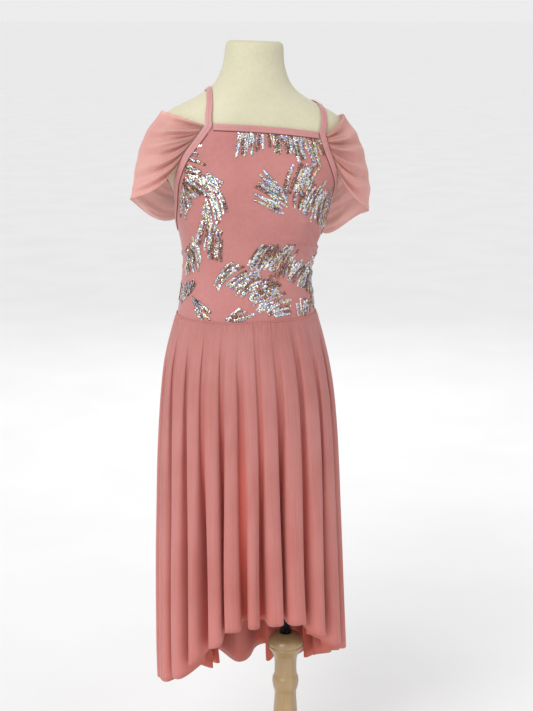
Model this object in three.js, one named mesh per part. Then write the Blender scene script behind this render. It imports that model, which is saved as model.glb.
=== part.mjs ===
// A child's ballet dress with a gathered high-low skirt and draped cap sleeves, on a limbless
// dress form that a rod carries over a turned wooden stand.
// Millimetres. +Z is up, the dress faces -Y and +X is the wearer's left. The origin lies on the
// floor, at the centre of the stand's base.
// The form and the dress are worked out in the form's own upright frame, whose axis is x = 0,
// and are then moved to where the form leans over the rod.
import * as THREE from "three";

// Driving sizes
const formAxisX = -60; // the form's axis stands beside the rod
const formTop = 1400;
const formBottom = 668;
const seamHeight = 952; // the seam between bodice and skirt
const seamGap = 0.3;
// How far the right shoulder stands above the left for each millimetre of width. The slope
// grows from the waist to the chest.
const shoulderSlope = { rise: 0.03, from: 1000, full: 1200 };

// Distances from the form's surface, inside and outside of each layer of cloth
const bodiceLayer = { inner: 1.4, outer: 2.6 };
const briefLayer = { inner: 1.0, outer: 2.0 };
const strapInner = 1.0;
const upperStrapInner = 3.1; // where the left strap crosses over the right one
const foldRise = 0.25; // of a strap's inner side, from its folded edge to the rest
const chordClearance = 0.1; // of a panel's facets over the form, at the least
const chordPasses = 3;
const chordShare = 0.6; // of a shortfall that each end of a facet's edge makes up in one pass
const clothWall = 1.2;
const bindingWall = 1.2;
const bindingLift = 0.8; // over the panel it is folded round, whose facets it crosses
const bindingWidth = 8.5;
const skirtSeamLift = 3.4; // middle of the skirt's wall over the form, at the seam
const skirtClearance = 7; // middle of the skirt's wall over the form's hips, at the least

// The form's level sections, from the flat cap of the neck to the flat underside
const formSections = [
  { z: 1400, half: 40, front: 38, back: 38, power: 2 },
  { z: 1397, half: 44.5, front: 42.5, back: 42.5, power: 2 },
  { z: 1390, half: 47, front: 45, back: 45, power: 2 },
  { z: 1370, half: 48.5, front: 46, back: 46.5, power: 2 },
  { z: 1354, half: 52.5, front: 48, back: 49, power: 2 },
  { z: 1338, half: 59.5, front: 50.5, back: 52.5, power: 2 },
  { z: 1326, half: 69, front: 52.5, back: 55.5, power: 2 },
  { z: 1317, half: 81, front: 54, back: 58, power: 2.05 },
  { z: 1309, half: 95, front: 55.5, back: 60.5, power: 2.1 },
  { z: 1301, half: 111, front: 57, back: 62.5, power: 2.1 },
  { z: 1293, half: 127, front: 58.5, back: 64.5, power: 2.15 },
  { z: 1285, half: 140, front: 60, back: 66.5, power: 2.2 },
  { z: 1275, half: 149, front: 61.5, back: 68.5, power: 2.3 },
  { z: 1262, half: 153, front: 63.5, back: 71, power: 2.4 },
  { z: 1240, half: 153.5, front: 67.5, back: 74.5, power: 2.5 },
  { z: 1215, half: 151, front: 73, back: 78, power: 2.5 },
  { z: 1193, half: 146, front: 78.5, back: 81, power: 2.4 },
  { z: 1175, half: 139, front: 83, back: 83, power: 2.35 },
  { z: 1158, half: 131, front: 86.5, back: 84.5, power: 2.25 },
  { z: 1140, half: 126.5, front: 88, back: 85, power: 2.2 },
  { z: 1119, half: 124, front: 86.5, back: 84, power: 2.2 },
  { z: 1097, half: 118.5, front: 83, back: 81, power: 2.2 },
  { z: 1072, half: 111, front: 79, back: 77, power: 2.2 },
  { z: 1050, half: 106.5, front: 76, back: 74, power: 2.2 },
  { z: 1030, half: 105.5, front: 75, back: 73.5, power: 2.2 },
  { z: 1005, half: 106.5, front: 77, back: 76, power: 2.2 },
  { z: 980, half: 110, front: 80, back: 81, power: 2.2 },
  { z: 952, half: 114.5, front: 83, back: 87, power: 2.2 },
  { z: 915, half: 120.5, front: 86.5, back: 94, power: 2.2 },
  { z: 870, half: 126, front: 88.5, back: 98, power: 2.2 },
  { z: 810, half: 127.5, front: 88.5, back: 98, power: 2.3 },
  { z: 750, half: 124, front: 86, back: 94, power: 2.3 },
  { z: 710, half: 118, front: 81, back: 88, power: 2.3 },
  { z: 685, half: 110, front: 74.5, back: 81, power: 2.3 },
  { z: 668, half: 99, front: 65, back: 71, power: 2.3 },
];
const formSides = 36;

// Where the middle of the form and of the skirt stands, as they lean
const leanRows = [
  { z: 230, x: 0 },
  { z: 520, x: -5.5 },
  { z: 800, x: -8 },
  { z: 900, x: -10 },
  { z: 1010, x: -10 },
  { z: 1060, x: -6 },
  { z: 1110, x: -1 },
  { z: 1180, x: 1.5 },
  { z: 1300, x: 2 },
  { z: 1400, x: 5 },
];

// The bodice's armholes from the front corner of the neckline, under the arm, to the back corner.
// x is measured outwards from the form's axis on either side.
const rightArmhole = [
  { x: 85, y: -56, z: 1270 },
  { x: 102, y: -58, z: 1248 },
  { x: 121, y: -53, z: 1221 },
  { x: 131, y: -40, z: 1187 },
  { x: 133, y: -20, z: 1156 },
  { x: 130, y: 0, z: 1122 },
  { x: 124, y: 20, z: 1101 },
  { x: 118, y: 42, z: 1112 },
  { x: 108, y: 58, z: 1142 },
  { x: 92, y: 70, z: 1178 },
  { x: 78, y: 74, z: 1216 },
];
const leftArmhole = [
  { x: 105, y: -52, z: 1257 },
  { x: 112, y: -56, z: 1236 },
  { x: 122, y: -52, z: 1209 },
  { x: 129, y: -41, z: 1184 },
  { x: 133, y: -22, z: 1153 },
  { x: 130, y: 0, z: 1116 },
  { x: 124, y: 20, z: 1095 },
  { x: 118, y: 42, z: 1106 },
  { x: 108, y: 58, z: 1138 },
  { x: 92, y: 70, z: 1176 },
  { x: 78, y: 74, z: 1214 },
];
const underarmRow = 6; // the row of both tables at the side seam
const frontNeckline = [
  { x: -85, y: -56, z: 1270 },
  { x: -30, y: -63, z: 1269 },
  { x: 20, y: -63, z: 1266.5 },
  { x: 65, y: -61, z: 1262.5 },
  { x: 105, y: -52, z: 1257 },
];
const backNeckline = [
  { x: 78, y: 74, z: 1214 },
  { x: 52, y: 78, z: 1200 },
  { x: 0, y: 82, z: 1193 },
  { x: -52, y: 78, z: 1201 },
  { x: -78, y: 74, z: 1216 },
];
const sideSeamAngle = 92; // at the seam with the skirt
const bodiceGrid = { armhole: 14, neckline: 10, backArmhole: 10, backNeckline: 8, rows: 12 };
const bodiceCrowding = 1.5; // of its rows towards the top
const cornerRoom = { front: 10, back: 13 }; // from a neckline's corners to its binding's ends

// The straps' outer edges, from above the front corners over the shoulders to the opposite back
// corners
const rightStrapRoute = [
  { x: -85.5, y: -53, z: 1279 },
  { x: -81, y: -40, z: 1302 },
  { x: -76, y: -6, z: 1321 },
  { x: -66, y: 34, z: 1306 },
  { x: -42, y: 66, z: 1279 },
  { x: -2, y: 76, z: 1253 },
  { x: 40, y: 78, z: 1231 },
  { x: 68, y: 72, z: 1219 },
];
const leftStrapRoute = [
  { x: 108.5, y: -50, z: 1266 },
  { x: 110.5, y: -42, z: 1282 },
  { x: 111, y: -20, z: 1297 },
  { x: 105, y: 14, z: 1302 },
  { x: 88, y: 46, z: 1288 },
  { x: 48, y: 70, z: 1270 },
  { x: 2, y: 76, z: 1252 },
  { x: -40, y: 78, z: 1233 },
  { x: -68, y: 72, z: 1221 },
];
const strapSteps = 27;
const strapCrossing = 0.74; // of the left strap's length, where it passes over the right one
const crossingRise = { over: 0.07, clear: 0.17 }; // of its length on either side of the crossing
const strapDescent = { from: 0.03, to: 0.14 }; // of a strap's length, where it comes down

// A sleeve's outer line, from the point of the shoulder to the lowest point of its hem
const sleeveSpine = [
  { x: 151.5, z: 1288.5 },
  { x: 175, z: 1258 },
  { x: 188.5, z: 1229 },
  { x: 197.5, z: 1192 },
  { x: 201.5, z: 1163 },
];
const rightSleeve = { side: -1, tip: { x: 205, z: 1146 }, gatherEnd: 0.205, backDroop: 42 };
const leftSleeve = { side: 1, tip: { x: 201, z: 1122 }, gatherEnd: 0.215, backDroop: 78 };
const sleeveBackEnd = 0.68; // of the armhole's length, where the back part's hem is sewn on
const sleeveGrid = { rows: 17, frontColumns: 8, backColumns: 7 };
const sleeveTopShare = 0.012; // of the armhole's length, from its corners to the sleeve
const sleeveDrape = { frontForward: 58, backForward: 56, frontDroop: 38, edgeLift: 1.9 };
// Where a sleeve's rows bend, as shares of the way from the armhole to the outer line, and how
// full they are beside the outer line at the top and at the hem
const sleeveBends = { inner: 1 / 3, outer: 0.85, fullTop: 0.55, fullHem: 0.8, crowding: 0.85 };
const sleeveFolds = { count: 5, front: 3.6, back: 2.6, reach: 1.02, softness: 0.8, loss: 0.35 };
const foldDirection = { x: 0.35, y: 0.9, z: 0.25 }; // outwards, to the front or back, and up
const sleeveInset = 3.8; // from the armhole's edge to the sleeve, past the binding
const formClearance = 1.6; // middle of a sleeve's wall over the form, at the least

// The skirt's ridges: the outline that they touch, and how deep the folds are between them
const skirtSections = [
  { z: 956, half: 118, front: 86.5, back: 90.5, depth: 0 },
  { z: 932, half: 125.5, front: 92, back: 98, depth: 2.5 },
  { z: 905, half: 134, front: 99, back: 106, depth: 5.5 },
  { z: 870, half: 142, front: 106, back: 114, depth: 9 },
  { z: 835, half: 147.5, front: 111, back: 119, depth: 12.5 },
  { z: 800, half: 151.5, front: 115, back: 123, depth: 17 },
  { z: 709, half: 158, front: 123, back: 130, depth: 30 },
  { z: 616, half: 162, front: 129, back: 135, depth: 38 },
  { z: 522, half: 166, front: 134, back: 140, depth: 43 },
  { z: 425, half: 169.5, front: 138, back: 144, depth: 46 },
  { z: 331, half: 172.5, front: 142, back: 148, depth: 48 },
  { z: 226, half: 174, front: 145, back: 151, depth: 49 },
];
// The skirt's folds, one row each: the angle of a ridge from the front, and how deep the valley
// after it is beside the others. The valley lies halfway to the next ridge. A flatness over 1
// makes the ridges broad and the valley narrow.
const skirtFolds = [
  { angle: -79, share: 0.95, flatness: 1.7 },
  { angle: -60, share: 1, flatness: 1.7 },
  { angle: -47, share: 1, flatness: 1.7 },
  { angle: -32, share: 0.95, flatness: 1.7 },
  { angle: -19.5, share: 0.9, flatness: 1.7 },
  { angle: -6.5, share: 0.85, flatness: 1.7 },
  { angle: 5, share: 1.1, flatness: 1.7 },
  { angle: 22, share: 1.1, flatness: 1.7 },
  { angle: 38.5, share: 1.1, flatness: 1.7 },
  { angle: 56, share: 1, flatness: 1.7 },
  { angle: 72, share: 1, flatness: 1.7 },
  { angle: 87, share: 0.9, flatness: 1.7 },
  { angle: 100, share: 1, flatness: 1.7 },
  { angle: 113, share: 1.15, flatness: 1.7 },
  { angle: 128, share: 1.35, flatness: 1.3 },
  { angle: 146, share: 1.4, flatness: 1.2 },
  { angle: 164, share: 1.75, flatness: 0.8 },
  { angle: 199, share: 1.5, flatness: 1.2 },
  { angle: 214, share: 1.35, flatness: 1.4 },
  { angle: 228, share: 1.2, flatness: 1.7 },
  { angle: 242, share: 1.1, flatness: 1.7 },
  { angle: 256, share: 1, flatness: 1.7 },
  { angle: 269, share: 0.85, flatness: 1.7 },
];
const foldsInFront = 11;
const columnsPerFold = 6;
const skirtTopHeight = 955.5;
const seamBand = 2; // below the seam, where the skirt still lies close
const skirtRowShares = [0, 0.03, 0.07, 0.13, 0.21, 0.32, 0.48, 0.72, 1];
// The hem, from the back over the wearer's right side, the front and the left side
const hemRows = [
  { angle: -180, z: 262 },
  { angle: -140, z: 268 },
  { angle: -115, z: 277 },
  { angle: -86, z: 295 },
  { angle: -72, z: 309 },
  { angle: -60, z: 324 },
  { angle: -48, z: 357 },
  { angle: -32, z: 400 },
  { angle: -19.5, z: 430 },
  { angle: 5, z: 437 },
  { angle: 22, z: 432 },
  { angle: 38.5, z: 398 },
  { angle: 56, z: 363 },
  { angle: 72, z: 340 },
  { angle: 87, z: 318 },
  { angle: 113, z: 281 },
  { angle: 128, z: 268 },
  { angle: 180, z: 262 },
];

// The brief under the skirt
const legLineSide = 836;
const crotchHeight = 700;
const frontLegLine = [
  { angle: 90, z: legLineSide },
  { angle: 70, z: 790 },
  { angle: 48, z: 742 },
  { angle: 28, z: 713 },
  { angle: 18, z: crotchHeight },
];
const backLegLine = [
  { angle: 90, z: legLineSide },
  { angle: 76, z: 782 },
  { angle: 60, z: 738 },
  { angle: 38, z: 711 },
  { angle: 18, z: crotchHeight },
];
const briefGrid = { leg: 8, crotch: 2, rows: 7, crowding: 1 };
const briefSideAngle = 90;
const gussetHalf = 32;
const gussetHeights = [690, 678]; // of its rows up the form's front and back
const gussetDepths = [-44, 0, 48]; // of its rows under the form
const gussetCorner = 1; // above the form's underside, where it turns under

// The stand
const rodRadius = 10;
const flangeRadius = 24;
const flangeThickness = 4;
const socketDepth = 70;
const socketRim = 2; // from the bore to the pole's rounded top
const poleTop = 357;
const poleFoot = 30.3;
const poleProfile = [
  { z: 354, r: 19 },
  { z: 347.5, r: 28 },
  { z: 339, r: 31.8 },
  { z: 334.5, r: 31 },
  { z: 333, r: 32.2 },
  { z: 327, r: 30 },
  { z: 316, r: 23.4 },
  { z: 306, r: 20.6 },
  { z: 288, r: 20 },
  { z: 275, r: 20.8 },
  { z: 268, r: 23.4 },
  { z: 259, r: 24 },
  { z: 249, r: 22.4 },
  { z: 240, r: 20 },
  { z: 208, r: 21.4 },
  { z: 165, r: 24 },
  { z: 130, r: 22.5 },
  { z: 104, r: 18 },
  { z: 97, r: 23.5 },
  { z: 87, r: 23.5 },
  { z: 80, r: 19 },
  { z: 52, r: 25 },
  { z: 40, r: 31 },
];
const poleFootRadius = 31;
const baseProfile = [
  { z: 0, r: 172 },
  { z: 5, r: 178 },
  { z: 13, r: 180 },
  { z: 18, r: 176 },
  { z: 22, r: 166 },
  { z: 26, r: 90 },
  { z: 30, r: 40 },
];
const poleSides = 20;
const baseSides = 36;

const cream = 0xe2dcc0;
const bodicePink = 0xcf8683;
const meshPink = 0xd58b86;
const bindingPink = 0xdb9c9c;
const wood = 0xb08d5c;
const blackMetal = 0x2c2e31;

const gradientStep = 0.05;
const settlePasses = 8;
const armholeStep = 0.01; // of an armhole's length, to either side of a place on it

const degrees = (angle) => (angle * Math.PI) / 180;
const mix = (a, b, share) => a + (b - a) * share;
const smoothStep = (low, high, value) => {
  const t = Math.min(1, Math.max(0, (value - low) / (high - low)));
  return t * t * (3 - 2 * t);
};
const signedPower = (value, power) => Math.sign(value) * Math.abs(value) ** power;

// A smooth curve through one column of a table, which never overshoots its rows
function columnCurve(rows, along, name) {
  const sorted = [...rows].sort((a, b) => a[along] - b[along]);
  const at = sorted.map((row) => row[along]);
  const value = sorted.map((row) => row[name]);
  const last = at.length - 1;
  const slope = at.map((_, i) => {
    if (i === 0 || i === last) return 0;
    const before = (value[i] - value[i - 1]) / (at[i] - at[i - 1]);
    const after = (value[i + 1] - value[i]) / (at[i + 1] - at[i]);
    return before * after <= 0 ? 0 : (2 * before * after) / (before + after);
  });
  slope[0] = (value[1] - value[0]) / (at[1] - at[0]);
  slope[last] = (value[last] - value[last - 1]) / (at[last] - at[last - 1]);
  return (where) => {
    const w = Math.min(at[last], Math.max(at[0], where));
    let i = 0;
    while (i < last - 1 && w > at[i + 1]) i += 1;
    const span = at[i + 1] - at[i];
    const t = (w - at[i]) / span;
    const cubic = 2 * t * t * t - 3 * t * t;
    return (
      (cubic + 1) * value[i] -
      cubic * value[i + 1] +
      (t * t * t - 2 * t * t + t) * span * slope[i] +
      (t * t * t - t * t) * span * slope[i + 1]
    );
  };
}

const formHalf = columnCurve(formSections, "z", "half");
const formFront = columnCurve(formSections, "z", "front");
const formBack = columnCurve(formSections, "z", "back");
const formPower = columnCurve(formSections, "z", "power");
const leanX = columnCurve(leanRows, "z", "x");

// A point on the form's surface: the angle is 0 at the front and 90 at the wearer's left
function formPoint(angle, z) {
  const across = Math.sin(degrees(angle));
  const forward = Math.cos(degrees(angle));
  const exponent = 2 / formPower(z);
  const depth = forward > 0 ? formFront(z) : formBack(z);
  return new THREE.Vector3(
    formHalf(z) * signedPower(across, exponent),
    -depth * signedPower(forward, exponent),
    z,
  );
}

function formAngle(point) {
  const exponent = formPower(point.z) / 2;
  const depth = point.y < 0 ? formFront(point.z) : formBack(point.z);
  const across = signedPower(point.x / formHalf(point.z), exponent);
  const forward = signedPower(-point.y / depth, exponent);
  return (Math.atan2(across, forward) * 180) / Math.PI;
}

// Below 0 inside the form, 0 on its surface
function formField(point) {
  const power = formPower(point.z);
  const depth = point.y < 0 ? formFront(point.z) : formBack(point.z);
  const sum =
    Math.abs(point.x / formHalf(point.z)) ** power + Math.abs(point.y / depth) ** power;
  return sum ** (1 / power) - 1;
}

function formGradient(point) {
  const gradient = new THREE.Vector3();
  for (const axis of ["x", "y", "z"]) {
    const ahead = point.clone();
    const behind = point.clone();
    ahead[axis] += gradientStep;
    behind[axis] -= gradientStep;
    gradient[axis] = (formField(ahead) - formField(behind)) / (2 * gradientStep);
  }
  return gradient;
}

const formDistance = (point) => formField(point) / formGradient(point).length();

// The point moved onto the form, then lifted off it along the surface's normal
function settle(point, lift) {
  const settled = point.clone();
  for (let pass = 0; pass < settlePasses; pass += 1) {
    const gradient = formGradient(settled);
    settled.addScaledVector(gradient, -formField(settled) / gradient.lengthSq());
  }
  return settled.addScaledVector(formGradient(settled).normalize(), lift);
}

// The point, moved out only where it lies closer to the form than the clearance
function keepClear(point, clearance) {
  if (point.z > formTop || point.z < formBottom) return point;
  if (formDistance(point) >= clearance) return point;
  return settle(point, clearance);
}

const vector = (row) => new THREE.Vector3(row.x, row.y, row.z);
const smoothLine = (points) => new THREE.CatmullRomCurve3(points, false, "centripetal");

// Moves a finished piece from the form's upright frame to where it stands
function lean(point) {
  const sideways = leanX(point.z);
  const { rise, from, full } = shoulderSlope;
  const slope = rise * smoothStep(from, full, point.z);
  return new THREE.Vector3(
    point.x + sideways + formAxisX,
    point.y,
    point.z - slope * point.x,
  );
}

function geometryOf(points, faces) {
  const geometry = new THREE.BufferGeometry();
  const flat = points.flatMap((p) => [p.x, p.y, p.z]);
  geometry.setAttribute("position", new THREE.Float32BufferAttribute(flat, 3));
  geometry.setIndex(faces.flat());
  geometry.computeVertexNormals();
  return geometry;
}

// A closed body through rings of as many points each, with a fan over either end.
// The rings turn anticlockwise as seen from the last ring.
function loft(rings) {
  const sides = rings[0].length;
  const points = rings.flat();
  const faces = [];
  for (let ring = 0; ring < rings.length - 1; ring += 1) {
    for (let i = 0; i < sides; i += 1) {
      const next = (i + 1) % sides;
      const a = ring * sides + i;
      const b = ring * sides + next;
      faces.push([a, b, b + sides], [a, b + sides, a + sides]);
    }
  }
  const first = points.length;
  points.push(centreOf(rings[0]), centreOf(rings[rings.length - 1]));
  const lastRing = (rings.length - 1) * sides;
  for (let i = 0; i < sides; i += 1) {
    const next = (i + 1) % sides;
    faces.push([first, next, i], [first + 1, lastRing + i, lastRing + next]);
  }
  return geometryOf(points, faces);
}

function centreOf(ring) {
  return ring
    .reduce((sum, p) => sum.add(p), new THREE.Vector3())
    .divideScalar(ring.length);
}

// A closed wall between an outer and an inner sheet of the same rows and columns.
// Seen from outside, columns run to the right and rows run down.
function wall(outer, inner) {
  const rows = outer.length;
  const columns = outer[0].length;
  const count = rows * columns;
  const points = [...outer.flat(), ...inner.flat()];
  const faces = [];
  const quad = (a, b, c, d) => faces.push([a, b, c], [a, c, d]);
  for (let row = 0; row < rows - 1; row += 1) {
    for (let column = 0; column < columns - 1; column += 1) {
      const a = row * columns + column;
      quad(a, a + columns, a + columns + 1, a + 1);
      const b = a + count;
      quad(b, b + 1, b + columns + 1, b + columns);
    }
  }
  const top = (i) => i;
  const bottom = (i) => (rows - 1) * columns + i;
  for (let i = 0; i < columns - 1; i += 1) {
    quad(top(i), top(i + 1), top(i + 1) + count, top(i) + count);
    quad(bottom(i + 1), bottom(i), bottom(i) + count, bottom(i + 1) + count);
  }
  const start = (i) => i * columns;
  const end = (i) => i * columns + columns - 1;
  for (let i = 0; i < rows - 1; i += 1) {
    quad(start(i + 1), start(i), start(i) + count, start(i + 1) + count);
    quad(end(i), end(i + 1), end(i + 1) + count, end(i) + count);
  }
  return geometryOf(points, faces);
}

// Both sides of a sheet's wall, half the wall's thickness to either side of it. The columns of
// a sheet that goes all round are each other's neighbours at its ends.
function thicken(sheet, thickness, allRound = false) {
  const columns = sheet[0].length;
  const beside = (column) =>
    allRound ? (column + columns) % columns : Math.min(columns - 1, Math.max(0, column));
  const normalAt = (row, column) => {
    const up = sheet[Math.max(0, row - 1)][column];
    const down = sheet[Math.min(sheet.length - 1, row + 1)][column];
    const downwards = down.clone().sub(up);
    const left = sheet[row][beside(column - 1)];
    const right = sheet[row][beside(column + 1)];
    return downwards.cross(right.clone().sub(left)).normalize();
  };
  const side = (distance) =>
    sheet.map((line, row) =>
      line.map((p, column) => p.clone().addScaledVector(normalAt(row, column), distance)),
    );
  return [side(thickness / 2), side(-thickness / 2)];
}

// A panel that lies on the form, between lines of as many points along its top and bottom.
// Its rows crowd towards the top by the given power.
function panel(top, bottom, rows, crowding, layer) {
  const ends = (line) => line.map((p) => ({ angle: formAngle(p), z: p.z }));
  const topEnds = ends(top);
  const bottomEnds = ends(bottom);
  const sheet = Array.from({ length: rows }, (_, row) => {
    const share = (row / (rows - 1)) ** crowding;
    return topEnds.map((from, i) => {
      let turn = bottomEnds[i].angle - from.angle;
      if (turn > 180) turn -= 360;
      if (turn < -180) turn += 360;
      return formPoint(from.angle + turn * share, mix(from.z, bottomEnds[i].z, share));
    });
  });
  const lifts = chordLifts(sheet, layer.inner);
  const lifted = (more) =>
    sheet.map((line, row) => line.map((p, column) => settle(p, lifts[row][column] + more)));
  return wall(leanSheet(lifted(layer.outer - layer.inner)), leanSheet(lifted(0)));
}

// How far each point of a sheet is lifted off the form, so that the straight lines between
// neighbours keep clear of it too
function chordLifts(sheet, lift) {
  const lifts = sheet.map((line) => line.map(() => lift));
  const neighbours = [
    [0, 1],
    [1, 0],
    [1, 1],
  ];
  for (let pass = 0; pass < chordPasses; pass += 1) {
    const points = sheet.map((line, row) => line.map((p, i) => settle(p, lifts[row][i])));
    points.forEach((line, row) =>
      line.forEach((point, column) => {
        for (const [down, right] of neighbours) {
          const other = points[row + down]?.[column + right];
          if (!other) continue;
          const short = chordClearance - formDistance(point.clone().lerp(other, 0.5));
          if (short <= 0) continue;
          lifts[row][column] += short * chordShare;
          lifts[row + down][column + right] += short * chordShare;
        }
      }),
    );
  }
  return lifts;
}

const leanSheet = (sheet) => sheet.map((line) => line.map(lean));

// A strip along a line on the form, with a profile for each point of the line. A profile's
// points are [across, lift]: across is measured from the line towards the strip's left as it
// runs on, and lift from the form's surface.
function strip(line, profiles) {
  const rings = line.map((point, i) => {
    const ahead = line[Math.min(line.length - 1, i + 1)];
    const behind = line[Math.max(0, i - 1)];
    const along = ahead.clone().sub(behind).normalize();
    const normal = formGradient(point).normalize();
    const across = normal.clone().cross(along).normalize();
    return profiles[i].map(([sideways, lift]) =>
      lean(settle(point.clone().addScaledVector(across, sideways), lift)),
    );
  });
  return loft(rings);
}

// The armhole's line on the form, from the front corner to the back corner, on either side
function armholeLine(rows, side) {
  const points = rows.map((row) => settle(new THREE.Vector3(row.x * side, row.y, row.z), 0));
  return { curve: smoothLine(points), underarm: underarmRow / (rows.length - 1) };
}

const armholes = {
  right: armholeLine(rightArmhole, -1),
  left: armholeLine(leftArmhole, 1),
};

function armholeStretch(armhole, from, to, steps) {
  return Array.from({ length: steps + 1 }, (_, i) =>
    settle(armhole.curve.getPoint(mix(from, to, i / steps)), 0),
  );
}

function necklineStretch(rows, steps) {
  const curve = smoothLine(rows.map(vector));
  return curve.getSpacedPoints(steps).map((p) => settle(p, 0));
}

// Points along a level line on the form between two angles
function levelLine(fromAngle, toAngle, z, steps) {
  return Array.from({ length: steps + 1 }, (_, i) =>
    formPoint(mix(fromAngle, toAngle, i / steps), z),
  );
}

// The same line, with its ends drawn back by half of the gap at a seam
function trimEnds(line, gap) {
  const trimmed = line.map((p) => p.clone());
  const pull = (end, neighbour) =>
    end.add(neighbour.clone().sub(end).setLength(gap / 2));
  pull(trimmed[0], line[1]);
  pull(trimmed[trimmed.length - 1], line[line.length - 2]);
  return trimmed;
}

function bodiceFront() {
  const { right, left } = armholes;
  const rightEdge = armholeStretch(right, right.underarm, 0, bodiceGrid.armhole);
  const neckline = necklineStretch(frontNeckline, bodiceGrid.neckline);
  const leftEdge = armholeStretch(left, 0, left.underarm, bodiceGrid.armhole);
  const top = [...rightEdge, ...neckline.slice(1, -1), ...leftEdge];
  const bottom = levelLine(-sideSeamAngle, sideSeamAngle, seamHeight, top.length - 1);
  return panel(
    trimEnds(top, seamGap),
    trimEnds(bottom, seamGap),
    bodiceGrid.rows,
    bodiceCrowding,
    bodiceLayer,
  );
}

function bodiceBack() {
  const { right, left } = armholes;
  const leftEdge = armholeStretch(left, left.underarm, 1, bodiceGrid.backArmhole);
  const neckline = necklineStretch(backNeckline, bodiceGrid.backNeckline);
  const rightEdge = armholeStretch(right, 1, right.underarm, bodiceGrid.backArmhole);
  const top = [...leftEdge, ...neckline.slice(1, -1), ...rightEdge];
  const bottom = levelLine(sideSeamAngle, 360 - sideSeamAngle, seamHeight, top.length - 1);
  return panel(
    trimEnds(top, seamGap),
    trimEnds(bottom, seamGap),
    bodiceGrid.rows,
    bodiceCrowding,
    bodiceLayer,
  );
}

// A binding folded over an edge: a layer that lies on the cloth and a lip past its edge
function bindingProfile(inner, onPanel) {
  const outside = onPanel + bindingWall;
  const lip = seamGap + bindingWall;
  return [
    [lip, inner],
    [lip, outside],
    [-bindingWidth, outside],
    [-bindingWidth, onPanel],
    [seamGap, onPanel],
    [seamGap, inner],
  ];
}

const edgeProfile = () => bindingProfile(bodiceLayer.inner, bodiceLayer.outer + bindingLift);

// An armhole's binding, which runs on past the front corner as the strap. Near the corner the
// strap comes down from the panel to the form, and the left one is lifted over the right one.
function armholeStrap(side, route, crossing) {
  const armhole = armholes[side];
  const front = armholeStretch(armhole, 0, armhole.underarm, bodiceGrid.armhole);
  const back = armholeStretch(armhole, armhole.underarm, 1, bodiceGrid.backArmhole);
  const edge = [...front, ...back.slice(1)];
  const strapLine = smoothLine([edge[0], ...route.map((row) => settle(vector(row), 0))]);
  const strapPoints = strapLine.getSpacedPoints(strapSteps).map((p) => settle(p, 0));
  const line = [...strapPoints.reverse(), ...edge.slice(1)];
  const onEdge = edgeProfile();
  const profiles = line.map((_, i) => {
    const along = (strapSteps - i) / strapSteps;
    if (along <= 0) return onEdge;
    const down = smoothStep(strapDescent.from, strapDescent.to, along);
    const away = smoothStep(crossingRise.over, crossingRise.clear, Math.abs(along - crossing));
    const over = crossing ? 1 - away : 0;
    const inner = mix(strapInner, upperStrapInner, over);
    const strapProfile = bindingProfile(inner, inner + foldRise);
    return onEdge.map(([across, lift], j) => [across, mix(lift, strapProfile[j][1], down)]);
  });
  if (side === "right") {
    line.reverse();
    profiles.reverse();
  }
  return strip(line, profiles);
}

// A neckline's binding stops short of the armholes' bindings
function neckBinding(rows, steps, room) {
  const line = necklineStretch(rows, steps);
  trimTo(line, room);
  return strip(line, line.map(edgeProfile));
}

function trimTo(line, room) {
  line[0].lerp(line[1], room / line[0].distanceTo(line[1]));
  const end = line.length - 1;
  line[end].lerp(line[end - 1], room / line[end].distanceTo(line[end - 1]));
}

// A sleeve's rows run from its top edge to its hem, and its columns from the front armhole over
// the outer line to the back armhole.
function sleeve({ side, tip, gatherEnd, backDroop }) {
  const armhole = side < 0 ? armholes.right : armholes.left;
  const spine = smoothLine(
    [...sleeveSpine, tip].map((row) => new THREE.Vector3(row.x * side, 0, row.z)),
  );
  const { rows, frontColumns, backColumns } = sleeveGrid;
  const { frontForward, backForward, frontDroop, edgeLift } = sleeveDrape;
  const offEdge = (share) => {
    const edge = settle(armhole.curve.getPoint(share), 0);
    const ahead = armhole.curve.getPoint(Math.min(1, share + armholeStep));
    const behind = armhole.curve.getPoint(Math.max(0, share - armholeStep));
    const along = ahead.clone().sub(behind).normalize();
    const outwards = formGradient(edge).normalize().cross(along).multiplyScalar(side);
    return settle(edge.addScaledVector(outwards, sleeveInset), edgeLift);
  };
  const sheet = [];
  for (let row = 0; row <= rows; row += 1) {
    const down = row / rows;
    const front = offEdge(mix(sleeveTopShare, gatherEnd, down));
    const back = offEdge(mix(1 - sleeveTopShare, sleeveBackEnd, down));
    const full = mix(sleeveBends.fullTop, sleeveBends.fullHem, down);
    const outer = spine.getPoint(down);
    const frontHalf = new THREE.CubicBezierCurve3(
      front,
      bend(front, outer, sleeveBends.inner, -frontForward, frontDroop * down ** 2),
      bend(front, outer, sleeveBends.outer, -frontForward * full, 0),
      outer,
    );
    const backHalf = new THREE.CubicBezierCurve3(
      outer,
      bend(back, outer, sleeveBends.outer, backForward * full, 0),
      bend(back, outer, sleeveBends.inner, backForward, backDroop * down ** 2),
      back,
    );
    const line = [];
    for (let i = 0; i <= frontColumns; i += 1) {
      line.push(frontHalf.getPoint((i / frontColumns) ** sleeveBends.crowding));
    }
    for (let i = 1; i <= backColumns; i += 1) {
      line.push(backHalf.getPoint(1 - (1 - i / backColumns) ** sleeveBends.crowding));
    }
    sheet.push(line);
  }
  const folded = foldSleeve(sheet, side).map((line) =>
    line.map((p, i) => (i === 0 || i === line.length - 1 ? p : keepClear(p, formClearance))),
  );
  const oriented = side < 0 ? folded.map((line) => [...line].reverse()) : folded;
  const [outside, inside] = thicken(oriented, clothWall);
  return wall(leanSheet(outside), leanSheet(inside));
}

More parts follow.
